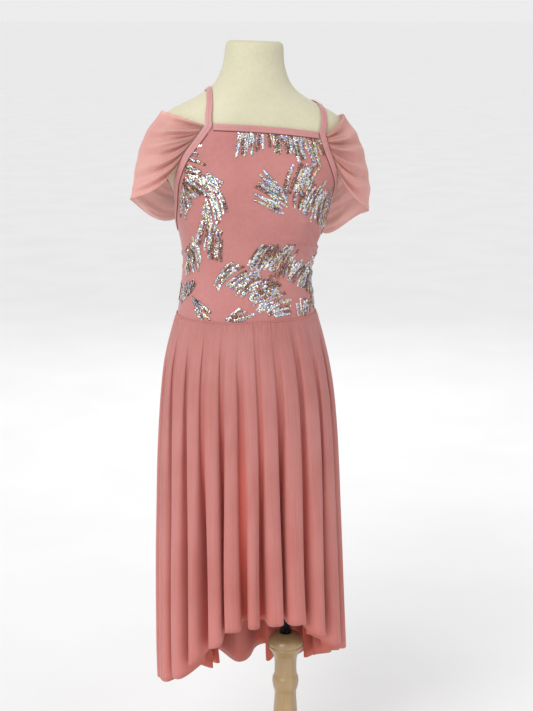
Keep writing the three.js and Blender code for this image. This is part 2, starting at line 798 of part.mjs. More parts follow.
// A control point on the way from one end of a row to the other, moved forward and down
function bend(from, to, share, forward, droop) {
  const point = from.clone().lerp(to, share);
  point.y = Math.abs(forward) > Math.abs(point.y) ? forward : point.y;
  point.z -= droop;
  return point;
}

// Soft folds that fan out from the gathers at the armhole and fade towards the outer line
function foldSleeve(sheet, side) {
  const rows = sheet.length - 1;
  const { frontColumns, backColumns } = sleeveGrid;
  return sheet.map((line, row) =>
    line.map((p, column) => {
      const onFront = column <= frontColumns;
      const share = onFront
        ? column / frontColumns
        : (frontColumns + backColumns - column) / backColumns;
      const strength = onFront ? sleeveFolds.front : sleeveFolds.back;
      const swell = Math.sin(Math.PI * Math.min(1, share * sleeveFolds.reach));
      const fade = swell ** sleeveFolds.softness * (1 - share * sleeveFolds.loss);
      const wave = Math.cos(2 * Math.PI * sleeveFolds.count * (row / rows));
      const { x, y, z } = foldDirection;
      const outwards = new THREE.Vector3(x * side, onFront ? -y : y, z);
      return p.clone().addScaledVector(outwards.normalize(), strength * fade * wave);
    }),
  );
}

const skirtHalf = columnCurve(skirtSections, "z", "half");
const skirtFront = columnCurve(skirtSections, "z", "front");
const skirtBack = columnCurve(skirtSections, "z", "back");
const foldDepth = columnCurve(skirtSections, "z", "depth");
const hemHeight = columnCurve(hemRows, "angle", "z");

// The angle of each column round the skirt, and how far its fold's valley pulls it in, from 0 on
// a ridge to the valley's own share. The first column lies on the first ridge.
function foldColumns() {
  const turn = 360;
  return skirtFolds.flatMap((fold, i) => {
    const next = skirtFolds[i + 1]?.angle ?? skirtFolds[0].angle + turn;
    return Array.from({ length: columnsPerFold }, (_, step) => {
      const across = step / columnsPerFold;
      return {
        angle: mix(fold.angle, next, across),
        pull: fold.share * valleyShare(1 - Math.abs(2 * across - 1), fold.flatness),
      };
    });
  });
}

// How far towards the valley a place lies: from 0 on the ridge, at 0, to 1 in the valley, at 1
const valleyShare = (place, flatness) => (1 - Math.cos(Math.PI * place ** flatness)) / 2;

function skirtPoint(column, z) {
  const sink = foldDepth(z) * column.pull;
  const across = Math.sin(degrees(column.angle));
  const forward = Math.cos(degrees(column.angle));
  const depth = forward > 0 ? skirtFront(z) : skirtBack(z);
  const point = new THREE.Vector3(
    (skirtHalf(z) - sink) * across,
    -(depth - sink) * forward,
    z,
  );
  return keepClear(point, z > seamHeight - seamBand ? skirtSeamLift : skirtClearance);
}

// Both sides of the whole skirt's wall
function skirtSheets() {
  const columns = foldColumns();
  const sheet = skirtRowShares.map((down) =>
    columns.map((column) => {
      const fromFront = ((column.angle + 540) % 360) - 180;
      return skirtPoint(column, mix(skirtTopHeight, hemHeight(fromFront), down));
    }),
  );
  return thicken(sheet, clothWall, true);
}

// One panel of the skirt, from one ridge to another
function skirtPanel(sheets, firstRidge, lastRidge) {
  const first = firstRidge * columnsPerFold;
  const count = (lastRidge - firstRidge) * columnsPerFold + 1;
  const [outside, inside] = sheets.map((sheet) =>
    sheet.map((line) => {
      const at = (i) => line[(i + line.length) % line.length];
      const cut = Array.from({ length: count }, (_, i) => at(first + i).clone());
      const shift = (point, i, way) =>
        point.addScaledVector(at(i + 1).clone().sub(at(i - 1)).normalize(), way * (seamGap / 2));
      shift(cut[0], first, 1);
      shift(cut[count - 1], first + count - 1, -1);
      return cut;
    }),
  );
  return wall(leanSheet(outside), leanSheet(inside));
}

// Half of the brief: a panel from the seam to a line down one leg, across and up the other leg
function briefPanel(legRows, facing) {
  const { leg, crotch, rows, crowding } = briefGrid;
  const angleOn = columnCurve(legRows.map((row) => ({ ...row, fall: -row.z })), "fall", "angle");
  const legPoints = Array.from({ length: leg + 1 }, (_, i) => {
    const z = mix(legLineSide, crotchHeight, i / leg);
    return { angle: angleOn(-z), z };
  });
  const half = [...legPoints];
  const bottomRows = [
    ...half.map(({ angle, z }) => ({ angle: -angle, z })),
    ...Array.from({ length: crotch - 1 }, (_, i) => ({
      angle: mix(-half[leg].angle, half[leg].angle, (i + 1) / crotch),
      z: crotchHeight,
    })),
    ...[...half].reverse(),
  ];
  const bottom = bottomRows.map(({ angle, z }) => formPoint(angle + facing, z));
  const sides = [facing - briefSideAngle, facing + briefSideAngle];
  const top = levelLine(...sides, seamHeight - seamGap, bottom.length - 1);
  return panel(trimEnds(top, seamGap), trimEnds(bottom, seamGap), rows, crowding, briefLayer);
}

// The gusset joins the brief's halves under the form
function briefGusset() {
  const sideHeights = [crotchHeight - seamGap, ...gussetHeights];
  const sheet = (lift) => {
    const lineAt = (place) => [-gussetHalf, 0, gussetHalf].map(place);
    const sidePoint = (z, facing) => (x) => {
      const depth = facing < 0 ? formFront(z) : formBack(z);
      const power = formPower(z);
      const y = facing * depth * (1 - Math.abs(x / formHalf(z)) ** power) ** (1 / power);
      return settle(new THREE.Vector3(x, y, z), lift);
    };
    const cornerPoint = (facing) => (x) => {
      const edge = sidePoint(formBottom + gussetCorner, facing)(x);
      return new THREE.Vector3(edge.x, edge.y, formBottom - lift);
    };
    return [
      ...sideHeights.map((z) => lineAt(sidePoint(z, -1))),
      lineAt(cornerPoint(-1)),
      ...gussetDepths.map((y) => lineAt((x) => new THREE.Vector3(x, y, formBottom - lift))),
      lineAt(cornerPoint(1)),
      ...[...sideHeights].reverse().map((z) => lineAt(sidePoint(z, 1))),
    ];
  };
  return wall(leanSheet(sheet(briefLayer.outer)), leanSheet(sheet(briefLayer.inner)));
}

function dressForm() {
  const rings = [...formSections]
    .reverse()
    .map(({ z }) =>
      Array.from({ length: formSides }, (_, i) => lean(formPoint((360 * i) / formSides, z))),
    );
  return loft(rings);
}

// A turned piece from a profile of heights and radii, whose ends lie on the axis
function turned(profile, sides) {
  const points = profile.map(({ z, r }) => new THREE.Vector2(r, z));
  const geometry = new THREE.LatheGeometry(points, sides);
  geometry.rotateX(Math.PI / 2);
  return geometry;
}

function standBase() {
  const crown = baseProfile[baseProfile.length - 1];
  return turned([{ z: 0, r: 0 }, ...baseProfile, { z: crown.z, r: 0 }], baseSides);
}

function standPole() {
  const bore = rodRadius + seamGap;
  return turned(
    [
      { z: poleFoot, r: 0 },
      { z: poleFoot, r: poleFootRadius },
      ...[...poleProfile].reverse(),
      { z: poleTop, r: bore + socketRim },
      { z: poleTop, r: bore },
      { z: poleTop - socketDepth, r: bore },
      { z: poleTop - socketDepth, r: 0 },
    ],
    poleSides,
  );
}

function standRod() {
  const top = formBottom - seamGap;
  return turned(
    [
      { z: poleTop - socketDepth + seamGap, r: 0 },
      { z: poleTop - socketDepth + seamGap, r: rodRadius },
      { z: top - flangeThickness, r: rodRadius },
      { z: top - flangeThickness, r: flangeRadius },
      { z: top, r: flangeRadius },
      { z: top, r: 0 },
    ],
    poleSides,
  );
}

const finish = (color, roughness, metalness = 0) =>
  new THREE.MeshStandardMaterial({ color, roughness, metalness });
const jersey = () => finish(cream, 0.9);
const stretchCloth = () => finish(bodicePink, 0.6);
const powerMesh = () => finish(meshPink, 0.85);
const bindingCloth = () => finish(bindingPink, 0.6);

const part = new THREE.Group();
function add(name, geometry, material) {
  const mesh = new THREE.Mesh(geometry, material);
  mesh.name = name;
  part.add(mesh);
}

add("stand_base", standBase(), finish(wood, 0.4));
add("stand_pole", standPole(), finish(wood, 0.4));
add("stand_rod", standRod(), finish(blackMetal, 0.35, 0.9));
add("dress_form", dressForm(), jersey());

add("bodice_front", bodiceFront(), stretchCloth());
add("bodice_back", bodiceBack(), stretchCloth());
add("neck_binding_front", neckBinding(frontNeckline, bodiceGrid.neckline, cornerRoom.front), bindingCloth());
add("neck_binding_back", neckBinding(backNeckline, bodiceGrid.backNeckline, cornerRoom.back), bindingCloth());
add("armhole_strap_right", armholeStrap("right", rightStrapRoute, 0), bindingCloth());
add("armhole_strap_left", armholeStrap("left", leftStrapRoute, strapCrossing), bindingCloth());

add("sleeve_right", sleeve(rightSleeve), powerMesh());
add("sleeve_left", sleeve(leftSleeve), powerMesh());

const skirt = skirtSheets();
add("skirt_front", skirtPanel(skirt, 0, foldsInFront), powerMesh());
add("skirt_back", skirtPanel(skirt, foldsInFront, skirtFolds.length), powerMesh());

add("brief_front", briefPanel(frontLegLine, 0), stretchCloth());
add("brief_back", briefPanel(backLegLine, 180), stretchCloth());
add("brief_gusset", briefGusset(), stretchCloth());

export default part;
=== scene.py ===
import math
import random

import bmesh
import bpy
from mathutils import Matrix, Vector


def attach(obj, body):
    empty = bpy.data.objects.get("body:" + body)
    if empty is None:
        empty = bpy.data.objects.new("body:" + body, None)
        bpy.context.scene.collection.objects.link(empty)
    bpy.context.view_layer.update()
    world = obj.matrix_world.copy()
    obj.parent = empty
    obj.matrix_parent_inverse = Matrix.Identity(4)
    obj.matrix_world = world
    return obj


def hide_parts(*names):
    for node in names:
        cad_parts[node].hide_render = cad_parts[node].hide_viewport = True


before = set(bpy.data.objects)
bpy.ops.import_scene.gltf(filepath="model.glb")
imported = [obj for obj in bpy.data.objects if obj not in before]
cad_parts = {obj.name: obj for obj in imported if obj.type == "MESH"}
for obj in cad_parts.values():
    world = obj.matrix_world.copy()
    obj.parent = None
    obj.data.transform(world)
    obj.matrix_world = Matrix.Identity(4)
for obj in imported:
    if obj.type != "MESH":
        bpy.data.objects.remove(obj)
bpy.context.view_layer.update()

# A child's ballet dress on a dress form. The tables and the shaping below are in millimetres, in
# the form's own upright frame, and each finished point is leaned with the form and made metres.

METRES = 0.001

# Points closer than this, in metres, are merged
MERGE_DISTANCE = 1e-6


def table(columns, rows):
    names = columns.split()
    return [dict(zip(names, row)) for row in rows]


# The camera stands where the photograph was taken from
camera_data = bpy.data.cameras.new("camera")
camera_data.lens = 65.82
camera_data.sensor_width = 36
camera = bpy.data.objects.new("camera", camera_data)
camera.location = (-0.4825, -2.1031, 1.437)
camera.rotation_euler = (math.radians(75.4), 0, math.radians(-12))
bpy.context.scene.collection.objects.link(camera)
bpy.context.scene.camera = camera


# Sizes of the form

form_axis_x = -60
form_top = 1400
form_bottom = 668
seam_height = 952

# One shoulder is a little higher: the slope across the form, which grows between two heights
shoulder_slope = 0.03
slope_starts = 1000
slope_full = 1200

# Pieces of cloth lie this far apart at their seams
piece_room = 0.3

form_sections = table(
    "z half front back power",
    [
        (1400, 40, 38, 38, 2),
        (1397, 44.5, 42.5, 42.5, 2),
        (1390, 47, 45, 45, 2),
        (1370, 48.5, 46, 46.5, 2),
        (1354, 52.5, 48, 49, 2),
        (1338, 59.5, 50.5, 52.5, 2),
        (1326, 69, 52.5, 55.5, 2),
        (1317, 81, 54, 58, 2.05),
        (1309, 95, 55.5, 60.5, 2.1),
        (1301, 111, 57, 62.5, 2.1),
        (1293, 127, 58.5, 64.5, 2.15),
        (1285, 140, 60, 66.5, 2.2),
        (1275, 149, 61.5, 68.5, 2.3),
        (1262, 153, 63.5, 71, 2.4),
        (1240, 153.5, 67.5, 74.5, 2.5),
        (1215, 151, 73, 78, 2.5),
        (1193, 146, 78.5, 81, 2.4),
        (1175, 139, 83, 83, 2.35),
        (1158, 131, 86.5, 84.5, 2.25),
        (1140, 126.5, 88, 85, 2.2),
        (1119, 124, 86.5, 84, 2.2),
        (1097, 118.5, 83, 81, 2.2),
        (1072, 111, 79, 77, 2.2),
        (1050, 106.5, 76, 74, 2.2),
        (1030, 105.5, 75, 73.5, 2.2),
        (1005, 106.5, 77, 76, 2.2),
        (980, 110, 80, 81, 2.2),
        (952, 114.5, 83, 87, 2.2),
        (915, 120.5, 86.5, 94, 2.2),
        (870, 126, 88.5, 98, 2.2),
        (810, 127.5, 88.5, 98, 2.3),
        (750, 124, 86, 94, 2.3),
        (710, 118, 81, 88, 2.3),
        (685, 110, 74.5, 81, 2.3),
        (668, 99, 65, 71, 2.3),
    ],
)
lean_rows = table(
    "z x",
    [
        (230, 0),
        (520, -5.5),
        (800, -8),
        (900, -10),
        (1010, -10),
        (1060, -6),
        (1110, -1),
        (1180, 1.5),
        (1300, 2),
        (1400, 5),
    ],
)

# Sizes of the bodice: its edges as they lie on the form, and the straps' routes

right_armhole = table(
    "x y z",
    [
        (85, -56, 1270),
        (102, -58, 1248),
        (121, -53, 1221),
        (131, -40, 1187),
        (133, -20, 1156),
        (130, 0, 1122),
        (124, 20, 1101),
        (118, 42, 1112),
        (108, 58, 1142),
        (92, 70, 1178),
        (78, 74, 1216),
    ],
)
left_armhole = table(
    "x y z",
    [
        (105, -52, 1257),
        (112, -56, 1236),
        (122, -52, 1209),
        (129, -41, 1184),
        (133, -22, 1153),
        (130, 0, 1116),
        (124, 20, 1095),
        (118, 42, 1106),
        (108, 58, 1138),
        (92, 70, 1176),
        (78, 74, 1214),
    ],
)
underarm_row = 6
front_neckline = table(
    "x y z",
    [
        (-85, -56, 1270),
        (-30, -63, 1269),
        (20, -63, 1266.5),
        (65, -61, 1262.5),
        (105, -52, 1257),
    ],
)
back_neckline = table(
    "x y z",
    [
        (78, 74, 1214),
        (52, 78, 1200),
        (0, 82, 1193),
        (-52, 78, 1201),
        (-78, 74, 1216),
    ],
)
right_strap_route = table(
    "x y z",
    [
        (-85.5, -53, 1279),
        (-81, -40, 1302),
        (-76, -6, 1321),
        (-66, 34, 1306),
        (-42, 66, 1279),
        (-2, 76, 1253),
        (40, 78, 1231),
        (68, 72, 1219),
        (74, 73, 1215.5),
    ],
)
left_strap_route = table(
    "x y z",
    [
        (108.5, -50, 1266),
        (110.5, -42, 1282),
        (111, -20, 1297),
        (105, 14, 1302),
        (88, 46, 1288),
        (48, 70, 1270),
        (2, 76, 1252),
        (-40, 78, 1233),
        (-68, 72, 1221),
        (-74, 73, 1217.5),
    ],
)
side_seam_angle = 92

# The share of a panel's columns that follows each armhole
front_armhole_share = 14 / 38
back_armhole_share = 10 / 28

# Lifts are distances off the form. A sheet's lift is that of the middle of its cloth.
panel_lift = 2.0
panel_wall = 1.1
panel_row_spacing = 1.5

# A binding is folded over the panel's edge with a little room, and sewn down in a groove
binding_inner = 1.4
binding_on_panel = 3.3
binding_wall = 1.2
binding_width = 8.5
binding_room = 0.3
sewn_groove = -4.0
strap_inner = 1.0
fold_rise = 0.25

# The left strap rises over the right one at this share of its length
strap_crossing = 0.74
upper_strap_inner = 3.1

# Shares of a strap's length: where it comes down to the form from the panel's height, and how
# far from the crossing its rise is still full and already gone
strap_descent = (0.03, 0.14)
crossing_rise = (0.07, 0.17)
strap_steps = 110
armhole_steps = 96

# Sizes of the sleeves

sleeve_spine = table(
    "x z",
    [
        (151.5, 1288.5),
        (175, 1258),
        (188.5, 1229),
        (197.5, 1192),
        (201.5, 1163),
    ],
)
right_sleeve = {"side": -1, "tip_x": 205, "tip_z": 1146, "gather_end": 0.205, "back_droop": 42}
left_sleeve = {"side": 1, "tip_x": 201, "tip_z": 1122, "gather_end": 0.215, "back_droop": 78}
sleeve_top_share = 0.012
sleeve_back_end = 0.68
sleeve_front_forward = 58
sleeve_back_forward = 56
sleeve_front_droop = 38
sleeve_edge_lift = 1.9
sleeve_inset = 3.8
sleeve_clearance = 1.6
sleeve_wall = 0.7
sleeve_columns = 105
sleeve_rows = 96

# Where the sleeve turns over the arm, and how far to each side the turn is rounded
sleeve_turn = 8 / 15
sleeve_rounding = 0.075
rounding_parts = [part / 4 for part in range(-4, 5)]

# Where on its way from the armhole to the turn a row bends, and how much of its way forward it
# keeps at the second bend, at the sleeve's top and at its tip
first_bend = 1 / 3
second_bend = 0.85
forward_kept = (0.55, 0.8)

# The sleeve's broad folds, which lose height towards the turn and fade out just before it
sleeve_folds = 5
front_fold_height = 5.6
back_fold_height = 4.0
fold_loss = 0.35
fold_fade = 1.02

# The narrow gathers beside the armhole, and how they are shifted from one sleeve to the other
sleeve_gathers = 11.3
gather_height = 2.1
gather_reach = 1 / 1.9
gather_shift = 1.9

# Small ripples over the whole sleeve: their height, and how they run across and down
sleeve_ripple = 0.9
ripple_across = 7
ripple_down = 9

# How deep the sleeve's colour is beside the armhole, on its folds' ridges and between them: partly
# the sleeve lying over itself, partly painted shade, deeper between the ridges
gather_layering_and_shade = (0.35, 0.9)

# How the rows' points crowd towards the armhole, and the way the folds stand out: to the side,
# forward in front and back behind, and up
sleeve_crowding = 0.85
fold_way = (0.35, 0.9, 0.25)
fold_rounding = 0.8

# Sizes of the skirt

skirt_sections = table(
    "z half front back depth",
    [
        (956, 118, 86.5, 90.5, 0.4),
        (945, 122.5, 90, 95, 4),
        (932, 126.5, 93, 99, 6),
        (905, 134, 99, 106, 9.5),
        (870, 142, 106, 114, 13),
        (835, 147.5, 111, 119, 16.5),
        (800, 151.5, 115, 123, 20),
        (709, 158, 123, 130, 30),
        (616, 162, 129, 135, 38),
        (522, 166, 134, 140, 43),
        (425, 169.5, 138, 144, 46),
        (331, 172.5, 142, 148, 48),
        (226, 174, 145, 151, 49),
    ],
)
# Each fold's ridge, the depth of the valley after it beside the others, how broad its ridges are,
# the height at which it starts under the seam and how far its ridge drifts on the way down
skirt_folds = table(
    "angle share flatness start drift",
    [
        (-79, 0.95, 1.7, 950, 1.2),
        (-60, 1, 1.7, 925, -1.6),
        (-47, 1, 1.7, 951, 1.8),
        (-32, 0.95, 1.7, 944, -1.4),
        (-19.5, 0.9, 1.7, 900, 2.0),
        (-6.5, 0.85, 1.7, 948, -1.8),
        (5, 1.1, 1.7, 935, 1.2),
        (22, 1.1, 1.7, 951, -2.0),
        (38.5, 1.1, 1.7, 910, 1.6),
        (56, 1, 1.7, 946, -1.2),
        (72, 1, 1.7, 930, 1.7),
        (87, 0.9, 1.7, 950, -1.7),
        (100, 1, 1.7, 880, 1.6),
        (113, 1.15, 1.7, 950, -1.2),
        (128, 1.35, 1.3, 920, 2.0),
        (146, 1.4, 1.2, 951, -1.8),
        (164, 1.75, 0.8, 900, 1.7),
        (199, 1.5, 1.2, 950, -1.6),
        (214, 1.35, 1.4, 880, 1.2),
        (228, 1.2, 1.7, 951, -2.0),
        (242, 1.1, 1.7, 860, 1.8),
        (256, 1, 1.7, 947, -1.1),
        (269, 0.85, 1.7, 900, 1.6),
    ],
)
folds_in_front = 11
skirt_top_height = 955.5
hem_rows = table(
    "angle z",
    [
        (-180, 262),
        (-140, 268),
        (-115, 277),
        (-86, 295),
        (-72, 309),
        (-60, 324),
        (-48, 357),
        (-32, 400),
        (-19.5, 430),
        (5, 437),
        (22, 432),
        (38.5, 398),
        (56, 363),
        (72, 340),
        (87, 318),
        (113, 281),
        (128, 268),
        (180, 262),
    ],
)

# How far the skirt keeps off the form: gathered to the seam above a height, and hanging below it
gathered_above = seam_height - 2
skirt_seam_lift = 3.4
skirt_clearance = 3.3

skirt_wall = 0.6
fold_columns = 22
skirt_rows = 72

# Rows lie closer together near the seam
skirt_row_spacing = 1.5

# The folds' depth as a share of the table's, above the first height and below the second
upper_fold_share = 0.52
lower_fold_share = 0.92
upper_folds_above = 880
lower_folds_below = 480

# A fold starts this far above its table's height, and is full this far below it
fold_lead = 8
fold_growth = 70
starting_fold_share = 0.35

# How strongly the cloth is drawn towards the ridges and the valleys where a fold starts and
# where it is full
ridge_pulls = (0.9, 0.8)
valley_pulls = (0.45, 0.12)

# Shares of the way down between which the ridges begin to drift, and how they sway
drift_span = (0.1, 0.9)
drift_sway = 2.2

# Folds grow deeper and shallower in slow waves, which differ by fold and by the way down
swells = table("height by_fold by_fall", [(0.16, 1.9, 5.5), (0.1, 4.1, -9)])

# Folds ripple more where more degrees lie between their ridges, from the first to the second
wide_fold = (19, 32)
narrow_ripple = 1.0
wide_ripple = 5.5

# Half waves of the ripples in a fold, how they slant, and the shares of the way down between
# which they set in
ripples_a_fold = 4
ripple_slant = 3
ripple_span = (0.05, 0.4)

# The gathered seam's small puckers, how far they lie under it and how many each fold has
pucker_height = 0.55
pucker_fall = 7
pucker_reach = 9
puckers_a_fold = 4.3
pucker_shift = 0.8
broad_puckers_a_fold = 2.7
broad_pucker_share = 0.6

# How much of the deeper colour the skirt takes: growing towards the hem all round, and in the
# valleys of
# # folds up to the first of two widths in degrees, fading up to the second. In the valleys it is
# partly the
# # cloth lying over itself and partly a painted glow of light bounced and scattered in the folds.
hem_deepening = 0.2
valley_layering_and_painted_light = 0.72
narrow_fold = (15, 30)

# The power by which it narrows to a valley's middle, and the shares of the way down between
# which it sets in
valley_narrowing = 1.5
valley_deepening_span = (0.02, 0.6)

# Sizes of the brief

leg_line_side = 836
crotch_height = 700
front_leg_line = table(
    "angle z", [(90, leg_line_side), (70, 790), (48, 742), (28, 713), (18, crotch_height)]
)
back_leg_line = table(
    "angle z", [(90, leg_line_side), (76, 782), (60, 738), (38, 711), (18, crotch_height)]
)
gusset_half = 32

# The gusset bends under the form at a share of its length, just above the form's bottom
gusset_turn = 0.2
gusset_bend_height = 1
brief_lift = 1.5
brief_wall = 0.9
brief_columns = 108
brief_rows = 48

# The share of the brief's columns that follows each leg
leg_share = 8 / 18

# Sizes of the stand

rod_radius = 10
flange_radius = 24
flange_thickness = 4
socket_depth = 70
pole_top = 357
pole_foot = 30.3
pole_profile = table(
    "z r",
    [
        (pole_top, 12.3),
        (354, 19),
        (347.5, 28),
        (339, 31.8),
        (334.5, 31),
        (333, 32.2),
        (327, 30),
        (316, 23.4),
        (306, 20.6),
        (288, 20),
        (275, 20.8),
        (268, 23.4),
        (259, 24),
        (249, 22.4),
        (240, 20),
        (208, 21.4),
        (165, 24),
        (130, 22.5),
        (104, 18),
        (97, 23.5),
        (87, 23.5),
        (80, 19),
        (52, 25),
        (40, 31),
        (pole_foot, 31),
    ],
)
base_profile = table(
    "z r",
    [(30, 40), (26, 90), (22, 166), (18, 176), (13, 180), (5, 178), (0, 172)],
)


# Shaping

def mix(a, b, share):
    return a + (b - a) * share


def smooth_step(low, high, value):
    t = min(1, max(0, (value - low) / (high - low)))
    return t * t * (3 - 2 * t)


def signed_power(value, power):
    return math.copysign(abs(value) ** power, value)


def hump(distance, width):
    return math.exp(-((distance / width) ** 2))


def column_curve(rows, along, name):
    """A smooth curve through one column of a table, which never overshoots its rows"""
    ordered = sorted(rows, key=lambda row: row[along])
    at = [row[along] for row in ordered]
    value = [row[name] for row in ordered]
    last = len(at) - 1
    slope = [0.0] * len(at)
    for i in range(1, last):
        before = (value[i] - value[i - 1]) / (at[i] - at[i - 1])
        after = (value[i + 1] - value[i]) / (at[i + 1] - at[i])
        if before * after > 0:
            slope[i] = 2 * before * after / (before + after)
    slope[0] = (value[1] - value[0]) / (at[1] - at[0])
    slope[last] = (value[last] - value[last - 1]) / (at[last] - at[last - 1])

    def curve(where):
        w = min(at[last], max(at[0], where))
        i = 0
        while i < last - 1 and w > at[i + 1]:
            i += 1
        span = at[i + 1] - at[i]
        t = (w - at[i]) / span
        cubic = 2 * t * t * t - 3 * t * t
        return (
            (cubic + 1) * value[i]
            - cubic * value[i + 1]
            + (t * t * t - 2 * t * t + t) * span * slope[i]
            + (t * t * t - t * t) * span * slope[i + 1]
        )

    return curve


SAMPLES_PER_MM = 2


def sampled(curve, low, high):
    """The same curve read from close samples, which is quicker"""
    steps = (high - low) * SAMPLES_PER_MM
    samples = [curve(low + i / SAMPLES_PER_MM) for i in range(steps + 1)]

    def quick(where):
        place = min(steps, max(0, (where - low) * SAMPLES_PER_MM))
        i = min(steps - 1, int(place))
        return mix(samples[i], samples[i + 1], place - i)

    return quick


form_half = sampled(column_curve(form_sections, "z", "half"), form_bottom, form_top)
form_front = sampled(column_curve(form_sections, "z", "front"), form_bottom, form_top)
form_back = sampled(column_curve(form_sections, "z", "back"), form_bottom, form_top)
form_power = sampled(column_curve(form_sections, "z", "power"), form_bottom, form_top)
lean_x = column_curve(lean_rows, "z", "x")


def form_point(angle, z):
    """On the form's surface: the angle is 0 at the front and 90 at the wearer's left"""
    across = math.sin(math.radians(angle))
    forward = math.cos(math.radians(angle))
    exponent = 2 / form_power(z)
    depth = form_front(z) if forward > 0 else form_back(z)
    return Vector((
        form_half(z) * signed_power(across, exponent),
        -depth * signed_power(forward, exponent),
        z,
    ))


def form_angle(point):
    exponent = form_power(point.z) / 2
    depth = form_front(point.z) if point.y < 0 else form_back(point.z)
    across = signed_power(point.x / form_half(point.z), exponent)
    forward = signed_power(-point.y / depth, exponent)
    return math.degrees(math.atan2(across, forward))


def form_field(x, y, z):
    """Below 0 inside the form, 0 on its surface"""
    power = form_power(z)
    depth = form_front(z) if y < 0 else form_back(z)
    return (abs(x / form_half(z)) ** power + abs(y / depth) ** power) ** (1 / power) - 1


GRADIENT_STEP = 0.05


def form_gradient(point):
    step = GRADIENT_STEP
    x, y, z = point
    return Vector((
        form_field(x + step, y, z) - form_field(x - step, y, z),
        form_field(x, y + step, z) - form_field(x, y - step, z),
        form_field(x, y, z + step) - form_field(x, y, z - step),
    )) / (2 * step)


def form_distance(point):
    return form_field(*point) / form_gradient(point).length


SETTLE_ROUNDS = 8
SETTLED = 1e-6


def settle(point, lift):
    """The point moved onto the form, then lifted off it along the surface's normal"""
    settled = Vector(point)
    for _ in range(SETTLE_ROUNDS):
        gradient = form_gradient(settled)
        field = form_field(*settled)
        settled -= gradient * (field / gradient.length_squared)
        if abs(field) < SETTLED:
            break
    return settled + form_gradient(settled).normalized() * lift


def keep_clear(point, clearance):
    if point.z > form_top or point.z < form_bottom:
        return point
    if form_distance(point) >= clearance:
        return point
    return settle(point, clearance)


def lean(point):
    """A finished point, moved to where the form leans, in metres"""
    slope = shoulder_slope * smooth_step(slope_starts, slope_full, point.z)
    return Vector((
        point.x + lean_x(point.z) + form_axis_x,
        point.y,
        point.z - slope * point.x,
    )) * METRES


def spot(row):
    return Vector((row["x"], row["y"], row["z"]))


class SmoothLine:
    """A smooth line through points, whose bends follow the distances between them"""

    def __init__(self, points):
        self.points = points
        self.cuts = 200
        self.lengths = [0.0]
        before = self.at(0)
        for i in range(1, self.cuts + 1):
            here = self.at(i / self.cuts)
            self.lengths.append(self.lengths[-1] + (here - before).length)
            before = here

    def at(self, share):
        last = len(self.points) - 1
        place = min(1, max(0, share)) * last
        i = min(last - 1, int(place))
        t = place - i
        p1, p2 = self.points[i], self.points[i + 1]
        p0 = self.points[i - 1] if i > 0 else p1 * 2 - p2
        p3 = self.points[i + 2] if i + 2 <= last else p2 * 2 - p1
        gap0 = (p1 - p0).length ** 0.5
        gap1 = (p2 - p1).length ** 0.5
        gap2 = (p3 - p2).length ** 0.5
        start = ((p1 - p0) / gap0 - (p2 - p0) / (gap0 + gap1) + (p2 - p1) / gap1) * gap1
        end = ((p2 - p1) / gap1 - (p3 - p1) / (gap1 + gap2) + (p3 - p2) / gap2) * gap1
        c2 = (p2 - p1) * 3 - start * 2 - end
        c3 = (p1 - p2) * 2 + start + end
        return p1 + start * t + c2 * t ** 2 + c3 * t ** 3

    def along(self, share):
        """The point at a share of the line's length"""
        target = share * self.lengths[-1]
        i = 0
        while i < self.cuts - 1 and self.lengths[i + 1] < target:
            i += 1
        span = self.lengths[i + 1] - self.lengths[i]
        return self.at((i + (target - self.lengths[i]) / span) / self.cuts)


# Making meshes

def finished_piece(name, shape, finish, replaced=()):
    """The shape as a smooth object at the origin, which goes with the form"""
    mesh = bpy.data.meshes.new(name)
    shape.to_mesh(mesh)
    shape.free()
    mesh.shade_smooth()
    mesh.materials.append(finish)
    piece = bpy.data.objects.new(name, mesh)
    bpy.context.scene.collection.objects.link(piece)
    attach(piece, "root")
    if replaced:
        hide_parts(*replaced)
    return piece


def grid_of(place, columns, rows, size, layering_and_painted_light=None):
    """A sheet of cloth: place gives the point at a share across it, to the right as seen from
    outside, and a share down it. The cloth's own coordinates are in metres of its flat size.
    A layering value says how deep the cloth's colour is there: partly because the cloth lies over
    itself, partly as painted shade and painted glow in its folds."""
    shape = bmesh.new()
    uv = shape.loops.layers.uv.new("cloth")
    bmesh.ops.create_grid(
        shape, x_segments=columns, y_segments=rows, size=0.5, calc_uvs=True
    )
    layers = shape.verts.layers.float.new("layering_and_painted_light") if layering_and_painted_light else None
    for vert in shape.verts:
        across, down = vert.co.x + 0.5, 0.5 - vert.co.y
        vert.co = place(across, down)
        if layering_and_painted_light:
            vert[layers] = layering_and_painted_light(across, down)
    for face in shape.faces:
        for loop in face.loops:
            loop[uv].uv = (loop[uv].uv.x * size[0], loop[uv].uv.y * size[1])
    return shape


def give_wall(piece, thickness):
    wall = piece.modifiers.new("wall", "SOLIDIFY")
    wall.thickness = thickness * METRES
    wall.offset = 0
    wall.use_even_offset = False


def cloth_sheet(
    name, place, columns, rows, size, thickness, finish, replaced=(), layering_and_painted_light=None
):
    shape = grid_of(place, columns, rows, size, layering_and_painted_light)
    piece = finished_piece(name, shape, finish, replaced)
    give_wall(piece, thickness)
    return piece


def tube_of(place, steps, sides, size):
    """A closed strip or body: place gives the point at a share along and a share around it"""
    shape = grid_of(place, steps, sides, size)
    bmesh.ops.remove_doubles(shape, verts=shape.verts, dist=MERGE_DISTANCE)
    ends = [edge for edge in shape.edges if edge.is_boundary]
    bmesh.ops.holes_fill(shape, edges=ends, sides=0)
    bmesh.ops.recalc_face_normals(shape, faces=shape.faces)
    return shape


# Finishes

